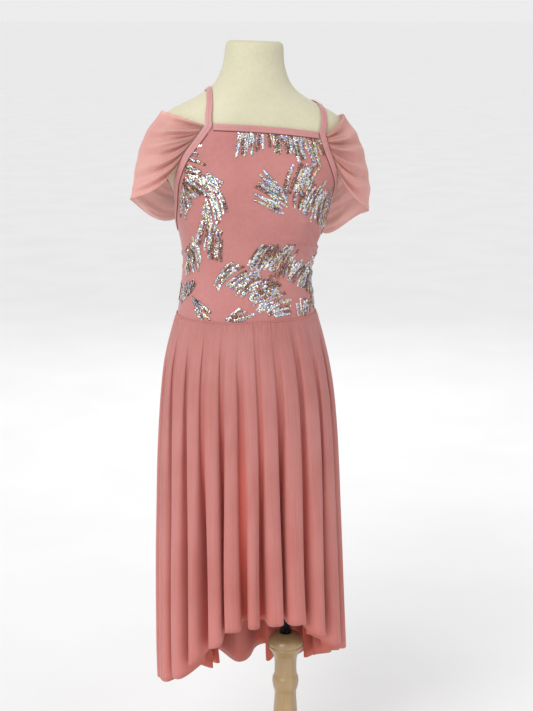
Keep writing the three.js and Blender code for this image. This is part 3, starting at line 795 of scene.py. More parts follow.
class Finish:
    """A procedural finish that is built up node by node"""

    def __init__(self, name, **sockets):
        self.material = bpy.data.materials.new(name)
        self.material.use_nodes = True
        self.tree = self.material.node_tree
        self.shader = self.tree.nodes["Principled BSDF"]
        for socket, value in sockets.items():
            self.shader.inputs[socket.replace("_", " ").title()].default_value = value

    def node(self, kind, **settings):
        made = self.tree.nodes.new(kind)
        for name, value in settings.items():
            if name in made.bl_rna.properties:
                setattr(made, name, value)
            else:
                made.inputs[name.replace("_", " ").title()].default_value = value
        return made

    def link(self, output, target):
        self.tree.links.new(output, target)

    def coordinates(self, kind, scale):
        """The piece's object coordinates or those of its cloth, scaled"""
        source = self.node("ShaderNodeTexCoord")
        mapping = self.node("ShaderNodeMapping", Scale=scale)
        self.link(source.outputs[kind], mapping.inputs["Vector"])
        return mapping.outputs["Vector"]

    def noise(self, coordinates, scale, detail=3):
        made = self.node("ShaderNodeTexNoise", Scale=scale, Detail=detail)
        self.link(coordinates, made.inputs["Vector"])
        return made.outputs["Fac"]

    def wave(self, coordinates, scale, direction):
        made = self.node("ShaderNodeTexWave", bands_direction=direction, Scale=scale)
        self.link(coordinates, made.inputs["Vector"])
        return made.outputs["Fac"]

    def sum_of(self, first, second, weight):
        made = self.node("ShaderNodeMath", operation="MULTIPLY_ADD")
        self.link(second, made.inputs[0])
        made.inputs[1].default_value = weight
        self.link(first, made.inputs[2])
        return made.outputs["Value"]

    def blend(self, share, first, second):
        """From the first colour at share 0 to the second at 1"""
        made = self.node("ShaderNodeMix", data_type="RGBA")
        colours = [socket for socket in made.inputs if socket.type == "RGBA"]
        self.link(share, made.inputs["Factor"])
        self.link(first, colours[0])
        if isinstance(second, bpy.types.NodeSocket):
            self.link(second, colours[1])
        else:
            colours[1].default_value = (*second, 1)
        return next(socket for socket in made.outputs if socket.type == "RGBA")

    def vector_math(self, operation, first, second):
        """A link's vector changed by another one, by a plain vector or by a scale"""
        made = self.node("ShaderNodeVectorMath", operation=operation)
        self.link(first, made.inputs[0])
        other = made.inputs["Scale" if operation == "SCALE" else 1]
        if isinstance(second, bpy.types.NodeSocket):
            self.link(second, other)
        else:
            other.default_value = second
        return made.outputs["Vector"]

    def ramp(self, value, stops):
        made = self.node("ShaderNodeValToRGB")
        elements = made.color_ramp.elements
        while len(elements) < len(stops):
            elements.new(0.5)
        for element, (position, colour) in zip(elements, stops):
            element.position = position
            element.color = (*colour, 1)
        self.link(value, made.inputs["Fac"])
        return made.outputs["Color"]

    def range(self, value, low, high):
        made = self.node("ShaderNodeMapRange", To_Min=low, To_Max=high)
        self.link(value, made.inputs["Value"])
        return made.outputs["Result"]

    def bump(self, height, distance, strength=1.0):
        made = self.node("ShaderNodeBump", Strength=strength, Distance=distance)
        self.link(height, made.inputs["Height"])
        self.link(made.outputs["Normal"], self.shader.inputs["Normal"])


# Metres between the bands of a wave whose scale is 1
WAVE_WIDTH = 0.314

# How much smoother and rougher than the rest cloth is in places
WEAR = 0.08


def knit_finish(
    name, pale, mid, deep, loop_size, roughness, sheen, alpha=1.0, glow=0.0, layered_and_painted_light=None
):
    """Knitted cloth: soft colour drifts, loops in rows and columns and a slight sheen. Sheer
    cloth also has streaks along its grain and a deeper colour, where it lies over itself and as
    painted shade and painted glow in its folds."""
    finish = Finish(
        name,
        roughness=roughness,
        sheen_weight=sheen,
        sheen_roughness=0.5,
        alpha=alpha,
        subsurface_weight=glow,
        subsurface_radius=(1.0, 0.4, 0.3),
        subsurface_scale=0.006,
    )
    body = finish.coordinates("Object", (1, 1, 1))
    cloth = finish.coordinates("UV", (1, 1, 1))
    drift = finish.noise(body, scale=9, detail=4)
    mottle = finish.noise(body, scale=160, detail=3)
    loops = finish.sum_of(
        finish.wave(cloth, WAVE_WIDTH / loop_size, "X"),
        finish.wave(cloth, WAVE_WIDTH / loop_size, "Y"),
        weight=0.8,
    )
    tone = finish.sum_of(finish.sum_of(drift, mottle, weight=0.35), loops, weight=0.06)
    if layered_and_painted_light:
        streaks = finish.noise(finish.coordinates("UV", (1, 0.025, 1)), scale=420, detail=2)
        tone = finish.sum_of(finish.sum_of(tone, streaks, weight=0.5), mottle, weight=-0.3)
    colour = finish.ramp(tone, [(0.42, deep), (0.68, mid), (0.95, pale)])
    if layered_and_painted_light:
        # The deeper colour is partly cloth lying over itself and partly painted shade and painted
        # glow in the folds
        depth = finish.node("ShaderNodeAttribute", attribute_name="layering_and_painted_light")
        colour = finish.blend(depth.outputs["Fac"], colour, layered_and_painted_light)
    finish.link(colour, finish.shader.inputs["Base Color"])
    worn = finish.range(mottle, low=roughness - WEAR, high=roughness + WEAR)
    finish.link(worn, finish.shader.inputs["Roughness"])
    finish.bump(finish.sum_of(loops, mottle, weight=0.6), distance=0.0001, strength=0.5)
    return finish.material


form_jersey = knit_finish(
    "cream_jersey",
    pale=(0.68, 0.645, 0.475),
    mid=(0.62, 0.585, 0.42),
    deep=(0.55, 0.51, 0.355),
    loop_size=0.0011,
    roughness=0.85,
    sheen=0.12,
)
bodice_cloth = knit_finish(
    "coral_stretch_knit",
    pale=(0.54, 0.215, 0.20),
    mid=(0.485, 0.18, 0.167),
    deep=(0.42, 0.145, 0.135),
    loop_size=0.0007,
    roughness=0.5,
    sheen=0.2,
)
binding_cloth = knit_finish(
    "pink_binding_knit",
    pale=(0.60, 0.28, 0.275),
    mid=(0.54, 0.235, 0.23),
    deep=(0.46, 0.18, 0.175),
    loop_size=0.0007,
    roughness=0.5,
    sheen=0.2,
)
skirt_mesh = knit_finish(
    "coral_power_mesh",
    pale=(0.57, 0.22, 0.205),
    mid=(0.505, 0.175, 0.158),
    deep=(0.43, 0.135, 0.117),
    loop_size=0.0012,
    roughness=0.8,
    sheen=0.12,
    alpha=0.92,
    glow=0.25,
    # The layered colour is partly cloth lying over itself and partly a painted glow of light
    # bounced in the skirt's valleys
    layered_and_painted_light=(0.74, 0.14, 0.095),
)
sleeve_mesh = knit_finish(
    "sheer_coral_mesh",
    pale=(0.86, 0.45, 0.41),
    mid=(0.78, 0.38, 0.34),
    deep=(0.68, 0.30, 0.265),
    loop_size=0.0012,
    roughness=0.8,
    sheen=0.2,
    alpha=0.64,
    glow=0.25,
    # The layered colour is partly gathers lying over themselves and partly painted shade between
    # the folds
    layered_and_painted_light=(0.42, 0.135, 0.11),
)
# A dark strip under the bindings' edges: painted shadow, not cloth of its own
seam_shadow_cloth = knit_finish(
    "dark_seam_shadow",
    pale=(0.20, 0.050, 0.045),
    mid=(0.16, 0.038, 0.034),
    deep=(0.12, 0.027, 0.024),
    loop_size=0.0007,
    roughness=0.8,
    sheen=0.1,
)
brief_cloth = knit_finish(
    "coral_brief_knit",
    pale=(0.52, 0.20, 0.18),
    mid=(0.47, 0.17, 0.15),
    deep=(0.40, 0.135, 0.12),
    loop_size=0.0007,
    roughness=0.6,
    sheen=0.3,
)


def turned_wood(name, grain_way):
    """Lacquered wood, whose grain is drawn out along the way with the small scale"""
    finish = Finish(name, roughness=0.32, coat_weight=0.35, coat_roughness=0.18)
    grain_space = finish.coordinates("Object", grain_way)
    grain = finish.noise(grain_space, scale=190, detail=6)
    figure = finish.noise(grain_space, scale=38, detail=3)
    tone = finish.sum_of(figure, grain, weight=0.45)
    colour = finish.ramp(
        tone,
        [(0.3, (0.30, 0.19, 0.085)), (0.85, (0.42, 0.29, 0.145)), (1.0, (0.52, 0.38, 0.21))],
    )
    finish.link(colour, finish.shader.inputs["Base Color"])
    finish.link(finish.range(grain, low=0.26, high=0.42), finish.shader.inputs["Roughness"])
    finish.bump(tone, distance=0.0002, strength=0.35)
    return finish.material


def blackened_steel():
    finish = Finish("blackened_steel", roughness=0.35, metallic=0.85)
    scuffs = finish.noise(finish.coordinates("Object", (1, 1, 0.25)), scale=260, detail=5)
    colour = finish.ramp(scuffs, [(0.4, (0.015, 0.016, 0.018)), (0.75, (0.07, 0.072, 0.078))])
    finish.link(colour, finish.shader.inputs["Base Color"])
    finish.link(finish.range(scuffs, low=0.25, high=0.5), finish.shader.inputs["Roughness"])
    finish.bump(scuffs, distance=0.0001, strength=0.3)
    return finish.material


def sequin_foil():
    """Foil with small facets that each reflect another way and another hue"""
    finish = Finish("sequin_foil", metallic=1.0, roughness=0.2)
    facets = finish.node("ShaderNodeTexVoronoi", Scale=1.0)
    facets_per_metre = 780
    space = finish.coordinates("Object", (facets_per_metre,) * 3)
    finish.link(space, facets.inputs["Vector"])
    parts = finish.node("ShaderNodeSeparateColor")
    finish.link(facets.outputs["Color"], parts.inputs["Color"])
    rainbow = finish.ramp(
        parts.outputs["Red"],
        [
            (0.0, (0.14, 0.10, 0.20)),
            (0.16, (0.45, 0.32, 0.98)),
            (0.3, (0.20, 0.56, 1.0)),
            (0.42, (1.0, 1.0, 1.0)),
            (0.54, (0.42, 0.95, 0.55)),
            (0.68, (1.0, 0.84, 0.28)),
            (0.84, (0.90, 0.42, 0.20)),
            (1.0, (0.16, 0.11, 0.10)),
        ],
    )
    tint = finish.node("ShaderNodeVertexColor", layer_name="sequin_tint")
    colour = finish.blend(tint.outputs["Alpha"], tint.outputs["Color"], rainbow)
    shine = finish.range(parts.outputs["Blue"], low=0.3, high=1.7)
    polish = finish.range(parts.outputs["Green"], low=0.1, high=0.34)
    finish.link(finish.vector_math("SCALE", colour, shine), finish.shader.inputs["Base Color"])
    finish.link(polish, finish.shader.inputs["Roughness"])
    middle_grey = (0.5, 0.5, 0.5)
    centred = finish.vector_math("SUBTRACT", facets.outputs["Color"], middle_grey)
    facet_tilt = 0.7
    tilt = finish.vector_math("SCALE", centred, facet_tilt)
    surface = finish.node("ShaderNodeNewGeometry")
    tilted = finish.vector_math("ADD", tilt, surface.outputs["Normal"])
    straight = finish.node("ShaderNodeVectorMath", operation="NORMALIZE")
    finish.link(tilted, straight.inputs["Vector"])
    finish.link(straight.outputs["Vector"], finish.shader.inputs["Normal"])
    return finish.material


def thread_finish():
    finish = Finish("pink_thread", roughness=0.55, sheen_weight=0.3)
    twist = finish.noise(finish.coordinates("Object", (1, 1, 1)), scale=900, detail=2)
    colour = finish.ramp(twist, [(0.35, (0.62, 0.26, 0.25)), (0.7, (0.80, 0.42, 0.40))])
    finish.link(colour, finish.shader.inputs["Base Color"])
    finish.bump(twist, distance=0.0001, strength=0.4)
    return finish.material


pole_wood = turned_wood("pale_turned_wood", (1, 1, 0.09))
base_wood = turned_wood("pale_wood_across_the_base", (0.09, 1, 1))
rod_metal = blackened_steel()
foil = sequin_foil()
thread = thread_finish()


# The stand

def turned_shape(profile, segments):
    """A profile of heights and radii, spun round the stand's axis"""
    shape = bmesh.new()
    verts = [shape.verts.new((row["r"] * METRES, 0, row["z"] * METRES)) for row in profile]
    edges = [shape.edges.new(pair) for pair in zip(verts, verts[1:])]
    bmesh.ops.spin(
        shape,
        geom=[*verts, *edges],
        cent=(0, 0, 0),
        axis=(0, 0, 1),
        angle=math.tau,
        steps=segments,
        use_merge=True,
    )
    bmesh.ops.remove_doubles(shape, verts=shape.verts, dist=MERGE_DISTANCE)
    bmesh.ops.recalc_face_normals(shape, faces=shape.faces)
    return shape


def rounded_profile(rows, cuts):
    """The profile with a smooth line through its rows"""
    points = [Vector((row["r"], 0, row["z"])) for row in rows]
    line = SmoothLine(points)
    steps = (len(points) - 1) * cuts
    return [{"r": p.x, "z": p.z} for p in (line.at(i / steps) for i in range(steps + 1))]


PROFILE_CUTS = 4
fitting_room = 0.3
rod_chamfer = 1
flange_fillet = 2
bore = rod_radius + fitting_room
finished_piece(
    "turned_pole",
    turned_shape(
        [
            {"r": 0, "z": pole_top - socket_depth},
            {"r": bore, "z": pole_top - socket_depth},
            {"r": bore, "z": pole_top},
            *rounded_profile(pole_profile, PROFILE_CUTS),
            {"r": 0, "z": pole_foot},
        ],
        segments=72,
    ),
    pole_wood,
    ["stand_pole"],
)
finished_piece(
    "turned_base",
    turned_shape(
        [
            {"r": 0, "z": base_profile[0]["z"]},
            *rounded_profile(base_profile, PROFILE_CUTS),
            {"r": 0, "z": base_profile[-1]["z"]},
        ],
        segments=96,
    ),
    base_wood,
    ["stand_base"],
)
rod_top = form_bottom - fitting_room
rod_foot = pole_top - socket_depth + fitting_room
finished_piece(
    "steel_rod",
    turned_shape(
        table(
            "r z",
            [
                (0, rod_foot),
                (rod_radius - rod_chamfer, rod_foot),
                (rod_radius, rod_foot + rod_chamfer),
                (rod_radius, rod_top - flange_thickness - flange_fillet),
                (rod_radius + flange_fillet, rod_top - flange_thickness),
                (flange_radius, rod_top - flange_thickness),
                (flange_radius, rod_top),
                (0, rod_top),
            ],
        ),
        segments=48,
    ),
    rod_metal,
    ["stand_rod"],
)


# The form

form_sides = 96
rows_between = 3
form_heights = []
for upper, lower in zip(form_sections, form_sections[1:]):
    form_heights += [
        mix(upper["z"], lower["z"], i / rows_between) for i in range(rows_between)
    ]
form_heights.append(form_bottom)


def form_place(along, around):
    z = form_heights[round(along * (len(form_heights) - 1))]
    return lean(form_point(360 * (around % 1), z))


form_shape = tube_of(form_place, len(form_heights) - 1, form_sides, size=(0.73, 0.85))
cap_edge = 0.004
caps = [face for face in form_shape.faces if len(face.verts) == form_sides]
for cap in caps:
    bmesh.ops.inset_region(form_shape, faces=[cap], thickness=cap_edge, use_even_offset=True)
form_body = finished_piece("padded_form", form_shape, form_jersey, ["dress_form"])


# The bodice

right_edge = SmoothLine(
    [settle(Vector((-row["x"], row["y"], row["z"])), 0) for row in right_armhole]
)
left_edge = SmoothLine([settle(spot(row), 0) for row in left_armhole])
underarm = underarm_row / (len(right_armhole) - 1)
front_neck = SmoothLine([spot(row) for row in front_neckline])
back_neck = SmoothLine([spot(row) for row in back_neckline])

# Creases of the bodice's cloth: each a soft ridge between two places on the front or the back
front_creases = table(
    "x1 z1 x2 z2 width height",
    [
        (36, 1094, 80, 1083, 3.4, 4.4),
        (70, 1085, 104, 1070, 3.6, 6.0),
        (101, 1074, 105, 1050, 3.6, 4.6),
        (74, 1061, 103, 1040, 3.8, 4.6),
        (64, 1121, 93, 1110, 3.4, 4.4),
        (92, 1112, 103, 1082, 3.8, 6.0),
        (86, 1034, 106, 1020, 4.2, 3.2),
        (-109, 1056, -88, 1104, 4.2, 5.4),
        (-107, 1034, -92, 1054, 4.0, 3.4),
        (-108, 1006, -92, 1026, 3.6, 4.2),
        (-104, 986, -84, 996, 3.4, 1.8),
        (-117, 1124, -100, 1106, 3.6, 2.2),
        (92, 984, 107, 994, 3.6, 2.4),
        (-44, 963, -18, 960, 3.0, 1.3),
        (26, 962, 60, 965, 3.0, 1.3),
        (-22, 1246, 14, 1250, 5, 1.0),
        (-8, 1212, 10, 1160, 14, 1.4),
    ],
)
back_creases = table(
    "x1 z1 x2 z2 width height",
    [
        (-92, 1052, -36, 1064, 4.2, 3.2),
        (-98, 1036, -52, 1044, 3.6, 2.6),
        (-96, 1016, -44, 1020, 4, 2.2),
        (40, 1062, 94, 1048, 4.2, 3.2),
        (50, 1042, 98, 1032, 3.6, 2.6),
        (48, 1018, 96, 1012, 4, 2.2),
        (-30, 1042, 26, 1040, 4.4, 2.0),
        (-60, 1000, -8, 1004, 4, 2.0),
        (6, 1006, 60, 998, 4, 2.0),
        (-74, 1184, -60, 1130, 4.5, 1.8),
        (72, 1182, 60, 1128, 4.5, 1.8),
    ],
)


crease_ends = (0.12, 0.88)

# Shares of a panel's height, beside the bindings and the waist seam, in which creases fade
crease_free_top = 0.12
crease_free_bottom = 0.05


def crease_lift(point):
    lift = 0
    for crease in front_creases if point.y < 0 else back_creases:
        start = Vector((crease["x1"], crease["z1"]))
        run = Vector((crease["x2"], crease["z2"])) - start
        place = Vector((point.x, point.z)) - start
        along = min(1, max(0, place.dot(run) / run.length_squared))
        away = (place - run * along).length
        fade = math.sin(math.pi * mix(*crease_ends, along))
        lift += crease["height"] * fade * hump(away, crease["width"])
    return lift


def bodice_place(top_at, bottom_at):
    """A panel from its upper edge to the waist seam, whose angles bottom_at gives"""
    def place(across, down):
        top = top_at(across)
        start = form_angle(top)
        turn = (bottom_at(across) - start + 180) % 360 - 180
        share = down ** panel_row_spacing
        point = form_point(start + turn * share, mix(top.z, seam_height, share))
        edge_room = min(
            smooth_step(0, crease_free_top, down), smooth_step(0, crease_free_bottom, 1 - down)
        )
        return lean(settle(point, panel_lift + edge_room * crease_lift(point)))

    return place


def panel_top(armhole_share, first_edge, neckline, last_edge, corner):
    """A panel's upper edge: along one armhole to its corner, the neckline and the other armhole"""
    def top_at(across):
        from_side = min(across, 1 - across) / armhole_share
        if from_side <= 1:
            edge = first_edge if across < 0.5 else last_edge
            return settle(edge.at(mix(underarm, corner, from_side)), 0)
        along = (across - armhole_share) / (1 - 2 * armhole_share)
        return settle(neckline.along(along), 0)

    return top_at


front_top = panel_top(front_armhole_share, right_edge, front_neck, left_edge, corner=0)
back_top = panel_top(back_armhole_share, left_edge, back_neck, right_edge, corner=1)
bodice_front = cloth_sheet(
    "bodice_front_cloth",
    bodice_place(front_top, lambda across: mix(-side_seam_angle, side_seam_angle, across)),
    columns=190,
    rows=112,
    size=(0.36, 0.32),
    thickness=panel_wall,
    finish=bodice_cloth,
    replaced=["bodice_front"],
)
bodice_back = cloth_sheet(
    "bodice_back_cloth",
    bodice_place(back_top, lambda across: mix(side_seam_angle, 360 - side_seam_angle, across)),
    columns=112,
    rows=60,
    size=(0.34, 0.26),
    thickness=panel_wall,
    finish=bodice_cloth,
    replaced=["bodice_back"],
)


# Bindings and straps: cloth folded over an edge, with a groove where it is sewn down

def binding_profile(inner, on_panel):
    """Places across the panel's edge, which is at 0, with their lifts"""
    outside = on_panel + binding_wall
    lip = binding_room + binding_wall
    return [
        (lip, inner),
        (lip + 0.15, mix(inner, outside, 0.5)),
        (lip, outside - 0.35),
        (lip - 0.7, outside),
        (-1.6, outside + 0.2),
        (-3.2, outside + 0.1),
        (sewn_groove, outside - 0.35),
        (-4.8, outside + 0.1),
        (-6.6, outside + 0.15),
        (-binding_width + 0.6, outside - 0.1),
        (-binding_width, outside - 0.6),
        (-binding_width, on_panel),
        (sewn_groove, on_panel),
        (binding_room, on_panel),
        (binding_room, mix(on_panel, inner, 0.5)),
        (binding_room + 0.2, inner),
    ]


def strip_piece(name, line, profiles, size, replaced):
    """A strip along a line on the form, with a profile for each point of the line"""
    rings = []
    for i, point in enumerate(line):
        ahead = line[min(len(line) - 1, i + 1)]
        behind = line[max(0, i - 1)]
        along = (ahead - behind).normalized()
        across = form_gradient(point).normalized().cross(along).normalized()
        rings.append([
            lean(settle(point + across * sideways, lift)) for sideways, lift in profiles[i]
        ])
    sides = len(profiles[0])

    def place(along, around):
        return rings[round(along * (len(rings) - 1))][round(around * sides) % sides]

    shape = tube_of(place, len(rings) - 1, sides, size)
    return finished_piece(name, shape, binding_cloth, replaced)


def armhole_line(edge, route):
    """The strap's points from the back, then the armhole's from its front corner to its back"""
    corner = settle(edge.at(0), 0)
    strap = SmoothLine([corner, *(settle(spot(row), 0) for row in route)])
    strap_points = [settle(strap.along(i / strap_steps), 0) for i in range(strap_steps + 1)]
    edge_points = [settle(edge.at(i / armhole_steps), 0) for i in range(1, armhole_steps + 1)]
    return [*reversed(strap_points), *edge_points]


def armhole_strap(name, edge, route, crossing, reverse, replaced):
    """The binding of an armhole and the strap that it goes on as. Returns the line of both."""
    line = armhole_line(edge, route)
    on_edge = binding_profile(binding_inner, binding_on_panel)
    profiles = []
    for i in range(len(line)):
        along = (strap_steps - i) / strap_steps
        if along <= 0:
            profiles.append(on_edge)
            continue
        down = smooth_step(*strap_descent, along)
        over = 1 - smooth_step(*crossing_rise, abs(along - crossing)) if crossing else 0
        inner = mix(strap_inner, upper_strap_inner, over)
        strap = binding_profile(inner, inner + fold_rise)
        profiles.append([
            (across, mix(lift, strap[j][1], down)) for j, (across, lift) in enumerate(on_edge)
        ])
    if reverse:
        line.reverse()
        profiles.reverse()
    strip_piece(name, line, profiles, size=(0.7, 0.02), replaced=replaced)
    return line


def neck_binding(name, neckline, steps, room, replaced):
    """A neckline's binding, with room for the armholes' bindings at its ends, and its line"""
    length = neckline.lengths[-1]
    line = [
        settle(neckline.along(mix(room / length, 1 - room / length, i / steps)), 0)
        for i in range(steps + 1)
    ]
    profiles = [binding_profile(binding_inner, binding_on_panel)] * len(line)
    return strip_piece(name, line, profiles, size=(0.2, 0.02), replaced=replaced), line


right_line = armhole_strap(
    "armhole_and_strap_right",
    right_edge,
    right_strap_route,
    crossing=None,
    reverse=True,
    replaced=["armhole_strap_right"],
)
left_line = armhole_strap(
    "armhole_and_strap_left",
    left_edge,
    left_strap_route,
    crossing=strap_crossing,
    reverse=False,
    replaced=["armhole_strap_left"],
)
neck_front, neck_front_line = neck_binding(
    "front_neck_binding", front_neck, steps=80, room=10, replaced=["neck_binding_front"]
)
neck_back, neck_back_line = neck_binding(
    "back_neck_binding", back_neck, steps=64, room=13, replaced=["neck_binding_back"]
)


def joined(shapes):
    """The shapes as one shape"""
    whole = bmesh.new()
    for shape in shapes:
        mesh = bpy.data.meshes.new("part_of_a_piece")
        shape.to_mesh(mesh)
        shape.free()
        whole.from_mesh(mesh)
        bpy.data.meshes.remove(mesh)
    return whole


# Sizes of the painted shadow strip under the bindings
shadow_line_place = -binding_width - 0.5
shadow_line_lift = 3.1
shadow_line_half_width = 0.75
shadow_line_half_height = 0.45
shadow_line_sides = 8


def painted_shadow_piece(name, lines):
    """A thin dark strip along the inner edge of the bindings: a painted shadow where a binding's
    edge shades the panel
    """
    shapes = []
    for line in lines:
        def place(along, around, line=line):
            i = round(along * (len(line) - 1))
            ahead = line[min(len(line) - 1, i + 1)]
            behind = line[max(0, i - 1)]
            across = form_gradient(line[i]).normalized().cross(ahead - behind).normalized()
            roll = math.tau * around
            sideways = shadow_line_place + shadow_line_half_width * math.cos(roll)
            point = line[i] + across * sideways
            return lean(settle(point, shadow_line_lift + shadow_line_half_height * math.sin(roll)))

        shapes.append(tube_of(place, len(line) - 1, shadow_line_sides, size=(0.3, 0.003)))
    finished_piece(name, joined(shapes), seam_shadow_cloth)


# The armholes' painted shadow lines leave out the straps and a few steps past their corners
steps_past_corner = 4
corner_steps = strap_steps + steps_past_corner
painted_shadow_piece(
    "painted_binding_shadows",
    [
        neck_front_line,
        neck_back_line,
        right_line[: len(right_line) - corner_steps],
        left_line[corner_steps:],
    ],
)


# The sleeves

def bezier(a, b, c, d, t):
    s = 1 - t
    return a * s ** 3 + b * (3 * s * s * t) + c * (3 * s * t * t) + d * t ** 3


def bend(start, end, share, forward, droop):
    """A control point on the way from one end of a row to the other, moved forward and down"""
    point = start.lerp(end, share)
    if abs(forward) > abs(point.y):
        point.y = forward
    point.z -= droop
    return point


# Half the share of the armhole's edge over which its direction is measured
EDGE_STEP = 0.01


def from_armhole(across):
    """From 0 at the armhole's edge to 1 where the sleeve turns over the arm"""
    return across / sleeve_turn if across <= sleeve_turn else (1 - across) / (1 - sleeve_turn)


def sleeve_place(sizes):
    """A sleeve whose rows hang from the armhole's front edge over the arm to its back edge"""
    side = sizes["side"]
    edge = right_edge if side < 0 else left_edge
    tip = {"x": sizes["tip_x"], "z": sizes["tip_z"]}
    spine = SmoothLine([Vector((row["x"] * side, 0, row["z"])) for row in [*sleeve_spine, tip]])

    def off_edge(share):
        point = settle(edge.at(share), 0)
        ahead = edge.at(min(1, share + EDGE_STEP))
        behind = edge.at(max(0, share - EDGE_STEP))
        along = (ahead - behind).normalized()
        outwards = form_gradient(point).normalized().cross(along) * side
        return settle(point + outwards * sleeve_inset, sleeve_edge_lift)

    rows = {}

    def row_of(down):
        if down not in rows:
            front = off_edge(mix(sleeve_top_share, sizes["gather_end"], down))
            back = off_edge(mix(1 - sleeve_top_share, sleeve_back_end, down))
            outer = spine.at(down)
            kept = mix(*forward_kept, down)
            front_droop = sleeve_front_droop * down ** 2
            back_droop = sizes["back_droop"] * down ** 2
            rows[down] = (
                (
                    front,
                    bend(front, outer, first_bend, -sleeve_front_forward, front_droop),
                    bend(front, outer, second_bend, -sleeve_front_forward * kept, 0),
                    outer,
                ),
                (
                    outer,
                    bend(back, outer, second_bend, sleeve_back_forward * kept, 0),
                    bend(back, outer, first_bend, sleeve_back_forward, back_droop),
                    back,
                ),
            )
        return rows[down]

    def draped(across, down):
        front_part, back_part = row_of(round(down, 6))
        share = from_armhole(across)
        eased = share ** sleeve_crowding
        sideways, forward, up = fold_way
        if across <= sleeve_turn:
            point = bezier(*front_part, eased)
            height = front_fold_height
            outwards = Vector((sideways * side, -forward, up)).normalized()
        else:
            point = bezier(*back_part, 1 - eased)
            height = back_fold_height
            outwards = Vector((sideways * side, forward, up)).normalized()
        fade = math.sin(math.pi * min(1, share * fold_fade)) ** fold_rounding
        fade = fade * (1 - share * fold_loss)
        lift = height * fade * math.cos(math.tau * sleeve_folds * down)
        gathered = max(0, math.sin(math.pi * min(1, share / gather_reach))) ** fold_rounding
        gather = math.cos(math.tau * sleeve_gathers * down + gather_shift * side)
        lift += gather_height * gathered * gather
        ripple = math.sin(math.pi * share)
        ripple *= math.sin(ripple_across * share + ripple_down * down + side)
        return point + outwards * (lift + sleeve_ripple * ripple)

    def place(across, down):
        if side < 0:
            across = 1 - across
        width = sleeve_rounding * smooth_step(2 * sleeve_rounding, 0, abs(across - sleeve_turn))
        if width > 0:
            near = [draped(across + width * part, down) for part in rounding_parts]
            point = sum(near, Vector()) / len(near)
        else:
            point = draped(across, down)
        if 0 < across < 1:
            point = keep_clear(point, sleeve_clearance)
        return lean(point)

    return place


def sleeve_layering_and_shade(side):
    """The gathers beside the armhole lie over themselves, and are darker between the folds' ridges
    as painted shade
    """
    def layering_and_painted_light(across, down):
        share = from_armhole(1 - across if side < 0 else across)
        folds = 0.5 - 0.5 * math.cos(math.tau * sleeve_folds * down)
        return max(0, 1 - share / gather_reach) * mix(*gather_layering_and_shade, folds)

    return layering_and_painted_light


def sleeve_piece(name, sizes, replaced):
    return cloth_sheet(
        name,
        sleeve_place(sizes),
        sleeve_columns,
        sleeve_rows,
        size=(0.28, 0.16),
        thickness=sleeve_wall,
        finish=sleeve_mesh,
        replaced=replaced,
        layering_and_painted_light=sleeve_layering_and_shade(sizes["side"]),
    )


sleeve_right = sleeve_piece("sleeve_right_mesh", right_sleeve, ["sleeve_right"])
sleeve_left = sleeve_piece("sleeve_left_mesh", left_sleeve, ["sleeve_left"])


# The skirt

skirt_half = column_curve(skirt_sections, "z", "half")
skirt_front = column_curve(skirt_sections, "z", "front")
skirt_back = column_curve(skirt_sections, "z", "back")
fold_depth = column_curve(skirt_sections, "z", "depth")
hem_height = column_curve(hem_rows, "angle", "z")


def fold_profile(place, flatness, onset):
    """From 0 on a ridge to 1 in the valley: how far along the way and how far in the cloth lies.
    A full ridge is broad and round, and its sides fall steeply into a narrow valley."""
    ridge_pull = mix(ridge_pulls[0], ridge_pulls[1] * flatness, onset)
    valley_pull = mix(*valley_pulls, onset)
    rest = 1 - place
    nearer = (
        3 * rest * rest * place * ridge_pull + 3 * rest * place * place * valley_pull + place ** 3
    )
    return nearer, place * place * (3 - 2 * place)


def fold_at(turn):
    """The fold there, the one after it, and how many degrees lie between their ridges"""
    index = int(turn) % len(skirt_folds)
    fold = skirt_folds[index]
    after = skirt_folds[(index + 1) % len(skirt_folds)]
    return index, fold, after, (after["angle"] - fold["angle"]) % 360


def skirt_point(turn, down):
    """On the skirt: turn counts folds round from the first ridge, down runs from seam to hem"""
    index, fold, after, width = fold_at(turn)
    next_angle = fold["angle"] + width
    across = turn - int(turn)
    angle = mix(fold["angle"], next_angle, across)
    from_front = (angle + 540) % 360 - 180
    z = mix(skirt_top_height, hem_height(from_front), down)
    drift = mix(fold["drift"], after["drift"], across)
    angle += drift * smooth_step(*drift_span, down) * math.sin(drift_sway * down + index)
    onset = smooth_step(fold["start"] + fold_lead, fold["start"] - fold_growth, z)
    place = 1 - abs(2 * across - 1)
    nearer, valley = fold_profile(place, fold["flatness"], onset)
    reach = width / 2 * (nearer - place)
    angle += reach if across < 0.5 else -reach
    swell = 1
    for wave in swells:
        swell += wave["height"] * math.sin(wave["by_fold"] * index + wave["by_fall"] * down)
    sink = fold_depth(z) * fold["share"] * valley * swell * mix(starting_fold_share, 1, onset)
    lower = smooth_step(upper_folds_above, lower_folds_below, z)
    sink *= mix(upper_fold_share, lower_fold_share, lower)
    wide = smooth_step(*wide_fold, width)
    ripple = math.sin(math.pi * ripples_a_fold * across + ripple_slant * down + index)
    crest = mix(1 - valley, 1, wide) * ripple
    sink += mix(narrow_ripple, wide_ripple, wide) * crest * smooth_step(*ripple_span, down)
    pucker = hump((skirt_top_height - z) - pucker_fall, pucker_reach)
    sink += pucker_height * pucker * (
        math.sin(math.tau * turn * puckers_a_fold + pucker_shift * index)
        + broad_pucker_share * math.sin(math.tau * turn * broad_puckers_a_fold)
    )
    sideways = math.sin(math.radians(angle))
    forward = math.cos(math.radians(angle))
    depth = skirt_front(z) if forward > 0 else skirt_back(z)
    point = Vector(((skirt_half(z) - sink) * sideways, -(depth - sink) * forward, z))
    clearance = skirt_seam_lift if z > gathered_above else skirt_clearance
    return lean(keep_clear(point, clearance))


